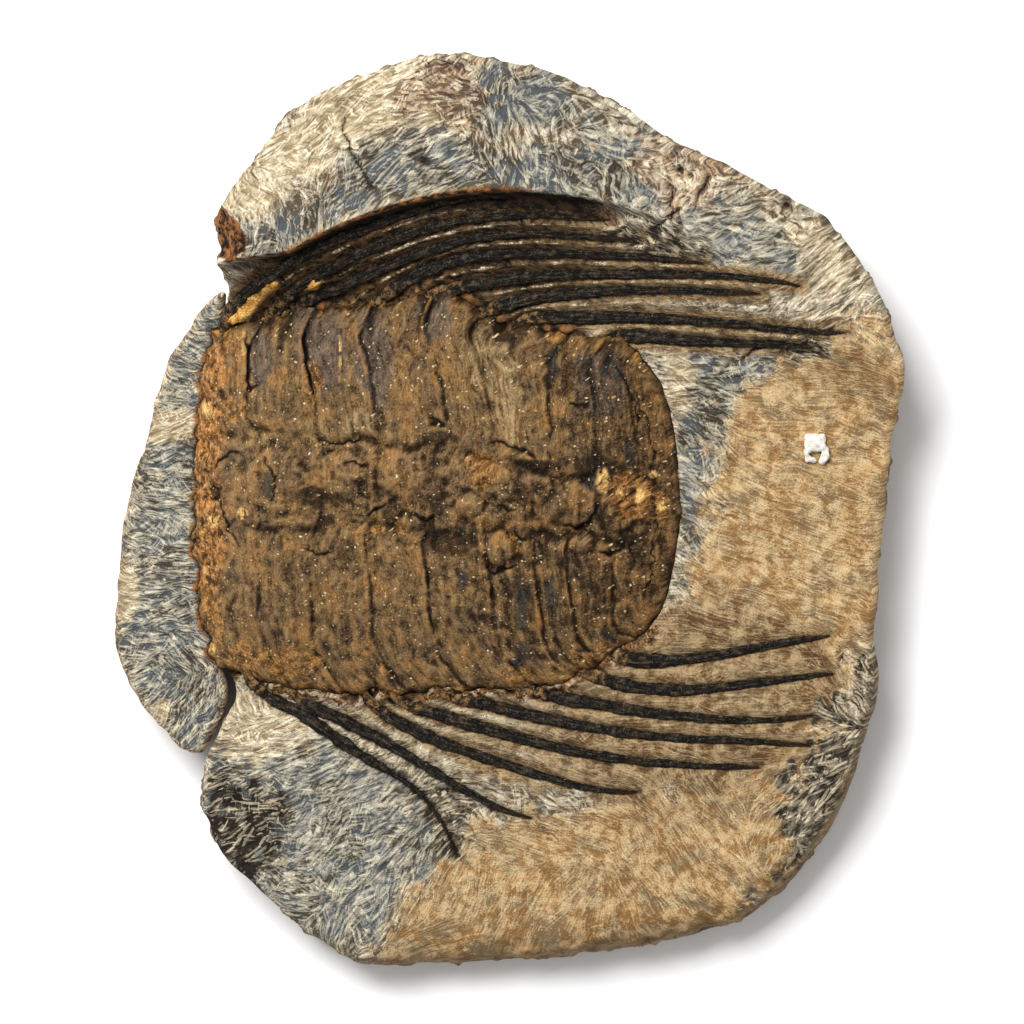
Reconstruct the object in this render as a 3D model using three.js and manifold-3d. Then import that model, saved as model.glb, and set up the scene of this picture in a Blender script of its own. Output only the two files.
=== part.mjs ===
// A trilobite with long pleural spines, lying on the stone that was carved away round it.
//
// Units are millimetres and +Z is up. The head points to -X and the tail to +X, so the animal's right
// side is +Y. The stone lies on its flat underside at Z = 0, with the origin under the middle of its
// outline. The stone is cracked across in front of the animal, so it is two blocks.

import * as THREE from "three";
import { mergeVertices } from "three/addons/utils/BufferGeometryUtils.js";
import Module from "manifold-3d";

const wasm = await Module();
wasm.setup();
const { lerp, smoothstep } = THREE.MathUtils;

// ---------------------------------------------------------------- driving dimensions

const CLEARANCE = 0.3; // between neighbouring pieces
const ABOVE = 60; // higher than everything
const BELOW = -10; // lower than everything

const FIELD_HEIGHT = 18; // level stone round the animal
const FIELD_FALL = 0.1; // slope of the stone towards -Y, past the spines
const FIELD_FALL_START = -40;
const RIM_RISE = 14; // raised rim over the field
const RIM_RISE_AT_TAIL = 7; // the rim is lower at its +X end
const RIM_FALL = 0.3; // slope of the rim's back
const CREST = { radius: 84, top: 64 }; // the rim's front edge is an arc, furthest in Y at X = 0
const BANK_FOOT = { x: -20, y: 41, bend: 0.0025 }; // the foot of the bank under it is a parabola
const BANK_LEAST = 12; // narrowest width of the bank
const SLAB_MIDDLE = { x: 0, y: 0 }; // what the block's rings shrink to
const SLAB_POINTS = 84; // points round the block's outline

const FRONT_HEIGHT = 15.5; // the front block, where the head overlaps it
const FRONT_FALL = 0.2; // slope of the front block towards -X
const FRONT_FALL_START = -60;
const FRONT_MIDDLE = { x: -66, y: -3 };
const FRONT_POINTS = 40;

const POCKET_FLOOR = 14; // what the shield lies on
const SHIELD_CROWN = 26; // height of the back of the animal
const SHIELD_EDGE = { left: 19, right: 20.5, head: 17.2, tail: 18.8 }; // heights of its margin
const HEAD_BOW = 3.2; // how far the head's margin bulges
const TAIL_BOW = 0.6;
const AXIS_LOBE = { rise: 1.4, width: 0.24, shift: 0.05 }; // ridge along the back, in half widths
const SEGMENTS = 9;
const THORAX = { start: 0.07, end: 0.76 }; // where the segments lie, as shares of the length
const FURROW_DEPTH = 0.9; // between two segments
const SHIELD_COLUMNS = 13;

const SPINE_ROOT = { halfWidth: 1.1, halfHeight: 0.85 };
const SPINE_TIP = { halfWidth: 0.45, halfHeight: 0.4 };
const SPINE_SHOWS = 0.25; // how far a spine's middle lies above the stone
const SPINE_SIDES = 6;
const SPINE_STEPS = 9;

const CRACK_STEPS = 22;
const FAR_AHEAD = -100; // past the front block's outer side

// ---------------------------------------------------------------- outlines, counter-clockwise

// The main block. Its -X side runs under the front block's place and is trimmed off along the crack.
const SLAB_OUTLINE = [
  [79.2, 25], [78.6, 31.6], [74.4, 42], [70.8, 49], [66.2, 55.4], [60.6, 60.8], [53.4, 63.8],
  [47.2, 67.4], [34, 73], [24.6, 79.4], [15.2, 85.4], [7.6, 87.6], [0, 90], [-8.2, 91.6],
  [-16, 91.2], [-23.8, 89], [-36.2, 84.8], [-45.4, 78.4], [-50, 71.6], [-55.4, 66], [-59, 61.2],
  [-59.6, 57.8], [-57.8, 54], [-58, 49.5], [-67, 40], [-70, 18], [-70, -8], [-67, -34],
  [-61.6, -49.5], [-61.8, -56], [-61.2, -62.6], [-58, -69.4], [-52, -74.8], [-46, -80],
  [-39.6, -85], [-33, -90.2], [-25, -91.8], [-16, -90.6], [-8, -90.8], [13.8, -88.8],
  [25.8, -87.2], [38.6, -84.8], [48, -81.2], [55, -75.8], [61.6, -67.6], [66.4, -60], [70, -49.4],
  [74, -35], [72.8, -24.4], [73.8, -13], [74.8, -2], [75.4, 7], [76.6, 15.8],
];

// The front block. Its +X side runs past the crack and is trimmed off there.
const FRONT_OUTLINE = [
  [-52, 30], [-55.6, 45.6], [-60.6, 42.6], [-64.2, 37], [-68.2, 31.4], [-71.6, 22.4],
  [-73.2, 13.4], [-76.2, 6.8], [-77.8, -1], [-79.2, -13], [-80, -23], [-79.4, -30.4],
  [-76.6, -36.4], [-72, -42], [-64.8, -48.4], [-58, -47], [-52, -34], [-52, 0],
];

// The crack as [x, y, width], from beyond the notch behind the head's right corner to beyond the one
// at its left corner. Between them it runs hidden under the head.
const CRACK = [
  [-68, 58, 0.6], [-57, 46, 0.6], [-57.5, 38, 0.4], [-59.5, 20, 0.4], [-60, 0, 0.4],
  [-58.8, -18, 0.5], [-57.4, -31, 1.2], [-55.8, -37, 2], [-57.2, -41, 1.6], [-60, -46.6, 1.2],
  [-68, -60, 1.2],
];

// The shield's two margins, from the head to the tail.
const SHIELD_LEFT = [
  [-60.6, -29.4], [-54, -32], [-46.2, -35.4], [-38, -36.6], [-28, -36.2], [-13.2, -36],
  [4.2, -35.4], [13.4, -32.8], [20, -29], [26.5, -25.5], [31.5, -16], [33.4, -6.2],
];
const SHIELD_RIGHT = [
  [-60.2, 36.6], [-53, 38], [-43.6, 39.5], [-33, 41], [-20, 43], [-9.8, 42.5], [-3.8, 38.6],
  [5.4, 37], [13.4, 36], [19.8, 35.4], [25.5, 32], [30.6, 24], [33.4, 10.4],
];

// Where each spine lies in plan, from its root at the shield to its tip, first segment first.
const RIGHT_SPINES = [
  [[-48.6, 46.6], [-42.2, 50.6], [-30, 56], [-17.8, 60.2], [-9.2, 62.6], [1.2, 62.2]],
  [[-39.2, 46.8], [-33, 50.4], [-17.8, 56], [-5.4, 58.6], [10, 58.8], [19.8, 58]],
  [[-37.2, 43.8], [-30, 46.8], [-17.8, 51.6], [-5.4, 55], [10, 55], [25.8, 54.2]],
  [[-22.4, 45], [-17.8, 48], [-5.4, 51], [10, 51.4], [22.2, 51], [38.6, 49.4]],
  [[-11.6, 44.4], [-5.4, 45.8], [10, 47.2], [22.2, 47.6], [34.6, 47], [46, 46.8], [57.8, 44.8]],
  [[-4, 40.4], [-1, 41.6], [10, 43.2], [22.2, 44.2], [34.6, 44], [49.8, 43.4]],
  [[7.8, 38.8], [22.2, 38.8], [34.6, 38.2], [46, 37.4], [55.2, 36.2], [66.8, 35.6]],
  [[26.2, 35], [34.6, 34.2], [46, 33.6], [55.2, 33.2], [60.4, 32.6]],
];
const LEFT_SPINES = [
  [[-44.2, -39.2], [-36.6, -44.4], [-24.4, -52.4], [-18.2, -56.6], [-13, -63.8], [-11.2, -68.4]],
  [[-37.6, -40.2], [-30.6, -43.2], [-21.4, -48.8], [-10, -55.2], [-3.8, -59.2], [4.2, -61.6]],
  [[-22.2, -42.4], [-16, -45.4], [-3.8, -50], [8.4, -53.6], [20.6, -56.4], [25.6, -56.2]],
  [[-17.6, -39.8], [-5, -43.8], [14.6, -48.2], [25, -50.4], [42.8, -51], [50, -51.4]],
  [[-9, -38], [-0.8, -39.8], [17.6, -43.6], [32, -45.4], [46.4, -46], [60, -47]],
  [[3.8, -36.2], [11.4, -37.8], [20.6, -39.2], [32, -40.8], [46, -42], [60.6, -41]],
  [[15.8, -32.8], [25, -35.4], [39.2, -35.6], [53.6, -33.8], [64.6, -32.6]],
  [[21.4, -29.6], [28.6, -30.2], [42.8, -28.6], [57, -26], [63.8, -25]],
];

// The white fleck: two lumps, each as its middle and its half sizes.
const CHIP_LUMPS = [
  { middle: [60.2, 12.8, 18.9], half: [1.6, 2.7, 1.2] },
  { middle: [62, 10.6, 18.7], half: [1.8, 1.2, 0.9] },
];

// A block's section, from its middle outwards, down its side and in under it: how far out each ring
// lies, as a share of the outline, and how high, as a share of the top's height there.
const SLAB_SECTION = [
  [0.2, 1], [0.4, 1], [0.52, 1], [0.62, 1], [0.7, 1], [0.78, 1], [0.86, 1], [0.92, 1],
  [0.965, 0.97], [0.99, 0.85], [1, 0.6], [0.995, 0.25], [0.98, 0],
];
const FRONT_SECTION = [
  [0.35, 1], [0.65, 1], [0.85, 0.98], [0.95, 0.85], [1, 0.55], [0.99, 0.2], [0.96, 0],
];

// ---------------------------------------------------------------- heights

// Height of the main block's surface.
function slabHeight(x, y) {
  const foot = BANK_FOOT.y - BANK_FOOT.bend * (x - BANK_FOOT.x) ** 2;
  const arc = Math.sqrt(Math.max(CREST.radius ** 2 - x ** 2, 0)) - CREST.radius;
  const crest = Math.max(CREST.top + arc, foot + BANK_LEAST);
  const rise = lerp(RIM_RISE, RIM_RISE_AT_TAIL, smoothstep(x, 0, 75));
  const back = RIM_FALL * Math.max(y - crest, 0);
  const front = FIELD_FALL * Math.max(FIELD_FALL_START - y, 0);
  return FIELD_HEIGHT + rise * smoothstep(y, foot, crest) - back - front;
}

function frontHeight(x) {
  return FRONT_HEIGHT - FRONT_FALL * Math.max(FRONT_FALL_START - x, 0);
}

// Height of the shield's back: along is 0 at the head and 1 at the tail, across is -1 at the left
// margin and 1 at the right one.
function shieldHeight(along, across, furrow) {
  const side = lerp(SHIELD_EDGE.left, SHIELD_EDGE.right, (across + 1) / 2);
  const ends = lerp(SHIELD_EDGE.head, SHIELD_EDGE.tail, along);
  const length = smoothstep(along, -0.02, 0.16) * (1 - smoothstep(along, 0.78, 1.03));
  const arch = 1 - Math.abs(across) ** 2.2;
  const lobe = AXIS_LOBE.rise * Math.exp(-(((across - AXIS_LOBE.shift) / AXIS_LOBE.width) ** 2));
  const crown = SHIELD_CROWN - FURROW_DEPTH * furrow;
  return lerp(lerp(ends, side, length), crown + lobe, arch * length);
}

// ---------------------------------------------------------------- shapes

function closedOutline(points, count) {
  const corners = points.map(([x, y]) => new THREE.Vector3(x, y, 0));
  return new THREE.CatmullRomCurve3(corners, true, "centripetal").getSpacedPoints(count).slice(1);
}

function openCurve(points) {
  return new THREE.SplineCurve(points.map(([x, y]) => new THREE.Vector2(x, y)));
}

function geometryOf(points, index) {
  const positions = points.flatMap((p) => p.toArray());
  const geometry = new THREE.BufferGeometry();
  geometry.setAttribute("position", new THREE.Float32BufferAttribute(positions, 3));
  geometry.setIndex(index);
  return geometry;
}

function middleOf(points) {
  const sum = points.reduce((total, p) => total.add(p), new THREE.Vector3());
  return sum.divideScalar(points.length);
}

// A closed body through a row of rings, each with as many points, fanned shut at both ends.
function skinOf(rings) {
  const count = rings[0].length;
  const points = [...rings.flat(), middleOf(rings[0]), middleOf(rings.at(-1))];
  const start = rings.length * count;
  const last = start - count;
  const index = [];
  for (let j = 0; j < count; j += 1) {
    const next = (j + 1) % count;
    index.push(start, j, next, last + j, start + 1, last + next);
    for (let ring = 0; ring < last; ring += count) {
      index.push(ring + j, ring + count + j, ring + count + next);
      index.push(ring + j, ring + count + next, ring + next);
    }
  }
  return geometryOf(points, index);
}

// A closed body under a grid of points, with walls from the grid's border down to a flat floor.
function bodyUnder(grid, floor) {
  const rows = grid.length;
  const columns = grid[0].length;
  const border = [];
  for (let i = 0; i < rows - 1; i += 1) border.push(i * columns);
  for (let j = 0; j < columns - 1; j += 1) border.push((rows - 1) * columns + j);
  for (let i = rows - 1; i > 0; i -= 1) border.push(i * columns + columns - 1);
  for (let j = columns - 1; j > 0; j -= 1) border.push(j);
  const top = grid.flat();
  const feet = border.map((k) => new THREE.Vector3(top[k].x, top[k].y, floor));
  const points = [...top, ...feet, middleOf(feet)];
  const index = [];
  for (let i = 0; i < rows - 1; i += 1) {
    for (let j = 0; j < columns - 1; j += 1) {
      const k = i * columns + j;
      index.push(k, k + columns, k + columns + 1, k, k + columns + 1, k + 1);
    }
  }
  border.forEach((k, at) => {
    const next = (at + 1) % border.length;
    const foot = top.length + at;
    const nextFoot = top.length + next;
    index.push(k, foot, nextFoot, k, nextFoot, border[next]);
    index.push(points.length - 1, nextFoot, foot);
  });
  return geometryOf(points, index);
}

// An upright prism on a plan outline.
function prism(outline, low, high) {
  const shape = new THREE.Shape(outline.map((p) => new THREE.Vector2(p.x, p.y)));
  const extrude = new THREE.ExtrudeGeometry(shape, { depth: high - low, bevelEnabled: false });
  return extrude.translate(0, 0, low);
}

// Each point of a counter-clockwise outline moved outwards.
function grown(outline, distance) {
  return outline.map((p, k) => {
    const before = outline.at(k - 1);
    const after = outline[(k + 1) % outline.length];
    const run = after.clone().sub(before).normalize();
    return new THREE.Vector3(p.x + run.y * distance, p.y - run.x * distance, p.z);
  });
}

// A block of stone: rings of one outline round a middle, shaped by a section and a height function.
function block(outline, middle, section, heightAt) {
  const rings = section.map(([out, high]) =>
    outline.map((p) => {
      const x = lerp(middle.x, p.x, out);
      const y = lerp(middle.y, p.y, out);
      return new THREE.Vector3(x, y, heightAt(x, y) * high);
    }),
  );
  return skinOf(rings);
}

// ---------------------------------------------------------------- cutting and joining

function solidOf(geometry) {
  const bare = geometry.clone();
  bare.deleteAttribute("normal");
  bare.deleteAttribute("uv");
  const merged = mergeVertices(bare, 1e-4);
  const vertProperties = merged.attributes.position.array;
  const triVerts = new Uint32Array(merged.index.array);
  return new wasm.Manifold(new wasm.Mesh({ numProp: 3, vertProperties, triVerts }));
}

function geometryFrom(solid) {
  const mesh = solid.getMesh();
  const geometry = new THREE.BufferGeometry();
  geometry.setAttribute("position", new THREE.BufferAttribute(mesh.vertProperties, 3));
  geometry.setIndex(new THREE.BufferAttribute(mesh.triVerts, 1));
  geometry.computeVertexNormals();
  return geometry;
}

// ---------------------------------------------------------------- the animal's shield

// How far along the shield its rows lie, and how deep in a furrow each one is.
function shieldRows() {
  const rows = [0, 0.02, 0.045].map((along) => ({ along, furrow: 0 }));
  const pitch = (THORAX.end - THORAX.start) / SEGMENTS;
  for (let segment = 0; segment < SEGMENTS; segment += 1) {
    const start = THORAX.start + segment * pitch;
    rows.push({ along: start, furrow: 1 });
    rows.push({ along: start + 0.3 * pitch, furrow: 0 });
    rows.push({ along: start + 0.8 * pitch, furrow: 0.1 });
  }
  rows.push({ along: THORAX.end, furrow: 1 });
  [0.8, 0.86, 0.92, 0.97, 1].forEach((along) => rows.push({ along, furrow: 0 }));
  return rows;
}

const leftMargin = openCurve(SHIELD_LEFT);
const rightMargin = openCurve(SHIELD_RIGHT);
const shieldGrid = shieldRows().map(({ along, furrow }) => {
  const left = leftMargin.getPointAt(along);
  const right = rightMargin.getPointAt(along);
  const bow = TAIL_BOW * smoothstep(along, 0.9, 1) - HEAD_BOW * (1 - smoothstep(along, 0, 0.2));
  return Array.from({ length: SHIELD_COLUMNS }, (_, column) => {
    const share = column / (SHIELD_COLUMNS - 1);
    const across = 2 * share - 1;
    const x = lerp(left.x, right.x, share) + bow * (1 - across ** 2);
    const y = lerp(left.y, right.y, share);
    return new THREE.Vector3(x, y, shieldHeight(along, across, furrow));
  });
});
const shieldOutline = [
  ...shieldGrid.map((row) => row[0]),
  ...shieldGrid.at(-1).slice(1, -1),
  ...shieldGrid.map((row) => row.at(-1)).reverse(),
  ...shieldGrid[0].slice(1, -1).reverse(),
];
const pocket = solidOf(prism(grown(shieldOutline, CLEARANCE), POCKET_FLOOR, ABOVE));

// ---------------------------------------------------------------- the spines

// One spine lying half sunk in the stone. With grow it is the groove that it lies in.
function spineSolid(plan, grow) {
  const middles = plan.map(([x, y]) => new THREE.Vector3(x, y, slabHeight(x, y) + SPINE_SHOWS));
  const curve = new THREE.CatmullRomCurve3(middles, false, "centripetal");
  const up = new THREE.Vector3(0, 0, 1);
  const rings = [];
  for (let step = 0; step <= SPINE_STEPS; step += 1) {
    const along = step / SPINE_STEPS;
    const run = curve.getTangentAt(along);
    const side = run.clone().cross(up).normalize();
    const rise = side.clone().cross(run);
    const middle = curve.getPointAt(along);
    if (step === 0) middle.addScaledVector(run, -grow);
    if (step === SPINE_STEPS) middle.addScaledVector(run, grow);
    const halfWidth = lerp(SPINE_ROOT.halfWidth, SPINE_TIP.halfWidth, along) + grow;
    const halfHeight = lerp(SPINE_ROOT.halfHeight, SPINE_TIP.halfHeight, along) + grow;
    const ring = Array.from({ length: SPINE_SIDES }, (_, k) => {
      const turn = (2 * Math.PI * k) / SPINE_SIDES;
      return middle
        .clone()
        .addScaledVector(side, halfWidth * Math.cos(turn))
        .addScaledVector(rise, halfHeight * Math.sin(turn));
    });
    rings.push(ring);
  }
  return solidOf(skinOf(rings));
}

// ---------------------------------------------------------------- the stone

const crackLine = new THREE.CatmullRomCurve3(
  CRACK.map(([x, y, width]) => new THREE.Vector3(x, y, width)),
  false,
  "centripetal",
).getPoints(CRACK_STEPS);

// Everything on the head's side of the crack, up to its edge on one block: side is 1 for the main
// block's edge and -1 for the front block's.
function aheadOfCrack(side) {
  const edge = crackLine.map((p) => new THREE.Vector3(p.x + (side * p.z) / 2, p.y, 0));
  const start = new THREE.Vector3(FAR_AHEAD, edge[0].y, 0);
  const end = new THREE.Vector3(FAR_AHEAD, edge.at(-1).y, 0);
  return solidOf(prism([...edge, end, start], BELOW, ABOVE));
}

function slabSolid() {
  const outline = closedOutline(SLAB_OUTLINE, SLAB_POINTS);
  const whole = solidOf(block(outline, SLAB_MIDDLE, SLAB_SECTION, slabHeight));
  const grooves = [...RIGHT_SPINES, ...LEFT_SPINES].map((plan) => spineSolid(plan, CLEARANCE));
  const trimmed = whole.subtract(aheadOfCrack(1)).subtract(pocket).subtract(chipSolid(CLEARANCE));
  return grooves.reduce((stone, groove) => stone.subtract(groove), trimmed);
}

function frontSolid() {
  const outline = closedOutline(FRONT_OUTLINE, FRONT_POINTS);
  const whole = solidOf(block(outline, FRONT_MIDDLE, FRONT_SECTION, frontHeight));
  return whole.intersect(aheadOfCrack(-1)).subtract(pocket);
}

// ---------------------------------------------------------------- the white fleck

function chipSolid(grow) {
  const lumps = CHIP_LUMPS.map(({ middle, half }) => {
    const lump = new THREE.SphereGeometry(1, 10, 6);
    lump.scale(half[0] + grow, half[1] + grow, half[2] + grow).translate(...middle);
    return solidOf(lump);
  });
  return lumps.reduce((joined, lump) => joined.add(lump));
}

// ---------------------------------------------------------------- the scene

const stone = new THREE.MeshStandardMaterial({ color: 0x9a835f, roughness: 0.9, metalness: 0 });
const frontStone = new THREE.MeshStandardMaterial({ color: 0x7f8078, roughness: 0.9, metalness: 0 });
const shell = new THREE.MeshStandardMaterial({ color: 0x5f4429, roughness: 0.6, metalness: 0 });
const spineShell = new THREE.MeshStandardMaterial({ color: 0x1d1c1f, roughness: 0.5, metalness: 0 });
const white = new THREE.MeshStandardMaterial({ color: 0xe9e6e4, roughness: 0.8, metalness: 0 });

const fossil = new THREE.Group();

function addPiece(name, geometry, material) {
  const mesh = new THREE.Mesh(geometry, material);
  mesh.name = name;
  fossil.add(mesh);
}

function addSpines(side, plans) {
  plans.forEach((plan, k) => {
    const solid = spineSolid(plan, 0).subtract(pocket);
    addPiece(`${side}_spine_${k + 1}`, geometryFrom(solid), spineShell);
  });
}

addPiece("matrix_slab", geometryFrom(slabSolid()), stone);
addPiece("matrix_front_piece", geometryFrom(frontSolid()), frontStone);
addPiece("trilobite_body", bodyUnder(shieldGrid, POCKET_FLOOR + CLEARANCE), shell);
addSpines("right", RIGHT_SPINES);
addSpines("left", LEFT_SPINES);
addPiece("white_chip", geometryFrom(chipSolid(0)), white);

export default fossil;
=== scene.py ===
# A trilobite with long pleural spines on the stone that was carved away round it: its looks.
#
# Lengths are millimetres until a mesh is made. The head points to -X, the tail to +X, and +Y is the
# animal's right side, where the stone rises to a rim. The outlines and the spines' lines come from
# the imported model, so each piece here fills the place of its CAD node.

import math

import bmesh
import bpy
import numpy as np
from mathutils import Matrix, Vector
from mathutils.bvhtree import BVHTree
from mathutils.kdtree import KDTree


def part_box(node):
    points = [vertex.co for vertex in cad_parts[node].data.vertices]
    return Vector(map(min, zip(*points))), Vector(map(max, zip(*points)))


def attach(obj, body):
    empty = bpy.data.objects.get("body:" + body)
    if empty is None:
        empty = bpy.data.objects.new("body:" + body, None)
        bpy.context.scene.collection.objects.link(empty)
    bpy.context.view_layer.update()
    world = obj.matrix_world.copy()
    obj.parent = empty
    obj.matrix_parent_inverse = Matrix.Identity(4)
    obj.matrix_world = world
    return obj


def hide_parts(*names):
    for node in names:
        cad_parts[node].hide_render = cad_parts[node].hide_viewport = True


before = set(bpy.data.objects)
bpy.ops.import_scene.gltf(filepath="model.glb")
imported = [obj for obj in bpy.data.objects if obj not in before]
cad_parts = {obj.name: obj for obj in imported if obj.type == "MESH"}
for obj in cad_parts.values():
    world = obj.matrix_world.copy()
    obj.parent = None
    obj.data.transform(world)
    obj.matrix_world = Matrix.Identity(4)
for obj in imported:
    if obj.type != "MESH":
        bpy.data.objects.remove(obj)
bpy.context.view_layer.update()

MM = 0.001
FAR, LINE_REACH = 200.0, 8.0

# ---------------------------------------------------------------- driving dimensions

# The stone, as the CAD has it.
FIELD_HEIGHT = 18.0
FIELD_FALL, FIELD_FALL_START = 0.1, -40.0
RIM_RISE, RIM_RISE_AT_TAIL, RIM_FALL = 14.0, 7.0, 0.3
CREST_RADIUS, CREST_TOP = 84.0, 64.0
BANK_FOOT_X, BANK_FOOT_Y, BANK_FOOT_BEND = -20.0, 41.0, 0.0025
BANK_LEAST = 12.0
FRONT_HEIGHT, FRONT_FALL, FRONT_FALL_START = 15.5, 0.2, -60.0
POCKET_FLOOR = 14.0
SHIELD_FLOOR = 14.3
SHIELD_CROWN = 26.0
EDGE_LEFT, EDGE_RIGHT, EDGE_HEAD, EDGE_TAIL = 18.8, 19.0, 17.4, 18.8

# How fine the meshes are.
SLAB_STEP = 0.47
FRONT_STEP = 0.34
SHIELD_STEP = 0.275
SPINE_STEP = 0.3
SPINE_SIDES = 20
WALL_ROWS, FRONT_WALL_ROWS = 16, 12
# In steps of a grid: how far inside the outline its nodes are kept, and how far they may be moved
# onto the outline.
KEPT_INSIDE, SNAP_REACH = 0.4, 2.2
# Stone this near its outer edge is kept under the shield. The strip has gaps, so the stone's mesh is
# open right through under the shield, where the CAD has a pocket with a floor.
POCKET_RIM = 1.2

# The random grooves of the tools: how many, the greatest depth, and the seed.
CARVED_GOUGES = 7500, 0.20, 61
PLAIN_GOUGES = 3000, 0.11, 62
FRONT_GOUGES = 1600, 0.24, 63

# The spines: half widths at the root and tip, how deep they are sunk, and height over width.
SPINE_WIDE, SPINE_NARROW = 1.45, 0.42
SPINE_SUNK, SPINE_FLATNESS = 0.42, 0.58
ROOT_DEPTH = 2.4  # how far the spines' roots reach in under the shield

# ---------------------------------------------------------------- numbers, noise and lines


def smooth(low, high, value):
    """0 at low, 1 at high, and an even S between them."""
    share = held((value - low) / (high - low))
    return share * share * (3 - 2 * share)


def blend(a, b, share):
    return a + (b - a) * share


def held(value):
    """The value, held between 0 and 1."""
    return np.clip(value, 0, 1)


def bell(distance, width):
    return np.exp(-((distance / width) ** 2))


TURNS = np.random.default_rng(5).uniform(0, 2 * np.pi, 4096)
EAST, NORTH = np.cos(TURNS), np.sin(TURNS)


def noise(x, y, size, seed=0):
    """Smooth random hills and hollows, size mm apart, from about -1 to 1."""
    u, v = x / size + 31.7 * seed, y / size - 17.3 * seed
    i, j = np.floor(u).astype(int), np.floor(v).astype(int)
    u, v = u - i, v - j

    def corner(a, b):
        pick = (73 * (i + a) + 179 * (j + b)) % TURNS.size
        return EAST[pick] * (u - a) + NORTH[pick] * (v - b)

    along, across = u * u * (3 - 2 * u), v * v * (3 - 2 * v)
    near = blend(corner(0, 0), corner(1, 0), along)
    far = blend(corner(0, 1), corner(1, 1), along)
    return 1.6 * blend(near, far, across)


def rough(x, y, size, octaves=3, seed=0):
    """Noise with finer noise on it, each half the size and half the height of the one before."""
    total = 0
    for k in range(octaves):
        total = total + noise(x, y, size / 2**k, seed + 7 * k) / 2**k
    return total


def solid_noise(x, y, z, size, seed):
    """Noise that changes with height as well."""
    level = np.floor(z / size)
    share = smooth(0, 1, z / size - level)
    return blend(noise(x, y, size, seed + level), noise(x, y, size, seed + level + 1), share)


def hollows(x, y, z, size, seed):
    """How deep broken rock lies behind its ridges: rounded hollows of two sizes, with sharp ridges
    between them, from 0 to about 1."""
    big = np.abs(solid_noise(x, y, z, size, seed))
    small = np.abs(solid_noise(x, y, z, 0.35 * size, seed + 40))
    return big + 0.35 * small


def curve(points):
    """A smooth line through a few points, as many points about 1 mm apart."""
    points = np.asarray(points, float)
    ends = np.vstack([2 * points[0] - points[1], points, 2 * points[-1] - points[-2]])
    made = []
    for a, b, c, d in zip(ends, ends[1:], ends[2:], ends[3:]):
        count = max(2, int(np.hypot(*(c - b))))
        t = np.linspace(0, 1, count, endpoint=False)[:, None]
        bend = (2 * a - 5 * b + 4 * c - d) * t**2 + (3 * b - a - 3 * c + d) * t**3
        made.append(b + 0.5 * ((c - a) * t + bend))
    return np.vstack([*made, points[-1:]])


def beside(x, y, line):
    """How far each point lies from a line, and how far along it the nearest place is, from 0 to 1.
    Points that are more than LINE_REACH from the line's box count as far away."""
    runs = np.diff(line, axis=0)
    lengths = np.hypot(*runs.T)
    starts = np.concatenate([[0], np.cumsum(lengths)])
    low, high = line.min(axis=0) - LINE_REACH, line.max(axis=0) + LINE_REACH
    near = (x > low[0]) & (x < high[0]) & (y > low[1]) & (y < high[1])
    px, py = x[near], y[near]
    away, place = np.full(px.shape, FAR), np.zeros(px.shape)
    for (ax, ay), (dx, dy), length, start in zip(line, runs, lengths, starts):
        share = held(((px - ax) * dx + (py - ay) * dy) / length**2)
        here = np.hypot(px - ax - share * dx, py - ay - share * dy)
        closer = here < away
        away = np.where(closer, here, away)
        place = np.where(closer, (start + share * length) / starts[-1], place)
    distance, along = np.full(x.shape, FAR), np.zeros(x.shape)
    distance[near], along[near] = away, place
    return distance, along


def edge_distance(x, y, outline):
    """How far each point lies from a closed outline of a few straight sides."""
    nearest = np.full(x.shape, FAR)
    for (ax, ay), (bx, by) in zip(outline, np.roll(outline, -1, axis=0)):
        dx, dy = bx - ax, by - ay
        share = held(((x - ax) * dx + (y - ay) * dy) / (dx * dx + dy * dy))
        nearest = np.minimum(nearest, np.hypot(x - ax - share * dx, y - ay - share * dy))
    return nearest


def tree_of(outline):
    """A search tree of points close together along a closed outline."""
    dense = evened(outline, 0.12, 0)
    tree = KDTree(len(dense))
    for k, (px, py) in enumerate(dense):
        tree.insert((px, py, 0), k)
    tree.balance()
    return tree


def inside_by(x, y, outline):
    """How far inside a closed outline each point lies, less than 0 outside it."""
    outline = np.asarray(outline, float)
    within = np.zeros(x.shape, bool)
    for (ax, ay), (bx, by) in zip(outline, np.roll(outline, -1, axis=0)):
        crosses = (ay > y) != (by > y)
        within[crosses] ^= x[crosses] < ax + (y[crosses] - ay) * (bx - ax) / (by - ay)
    if len(outline) < 100:
        nearest = edge_distance(x, y, outline)
    else:
        tree = tree_of(outline)
        places = zip(x.ravel().tolist(), y.ravel().tolist())
        nearest = np.array([tree.find((px, py, 0))[2] for px, py in places]).reshape(x.shape)
    return np.where(within, nearest, -nearest)


def zone(x, y, patches, soft, seed):
    """1 inside any of the patches and 0 outside them, with wandering edges soft mm wide."""
    wander = 0.8 * min(soft, 4.0)
    u = x + wander * rough(x, y, 5, 3, seed)
    v = y + wander * rough(x, y, 5, 3, seed + 50)
    inside = np.max([inside_by(u, v, corners) for corners in patches], axis=0)
    return smooth(-soft / 2, soft / 2, inside)


def spot(x, y, at, half, turn=0.0, seed=4):
    """1 in the middle of an oval and 0 outside it."""
    c, s = math.cos(math.radians(turn)), math.sin(math.radians(turn))
    u, v = x - at[0], y - at[1]
    away = np.hypot((c * u + s * v) / half[0], (c * v - s * u) / half[1])
    return 1 - smooth(0.55, 1.1, away + 0.25 * rough(x, y, 2.5, 2, seed))


# ---------------------------------------------------------------- what the frame gives


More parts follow.
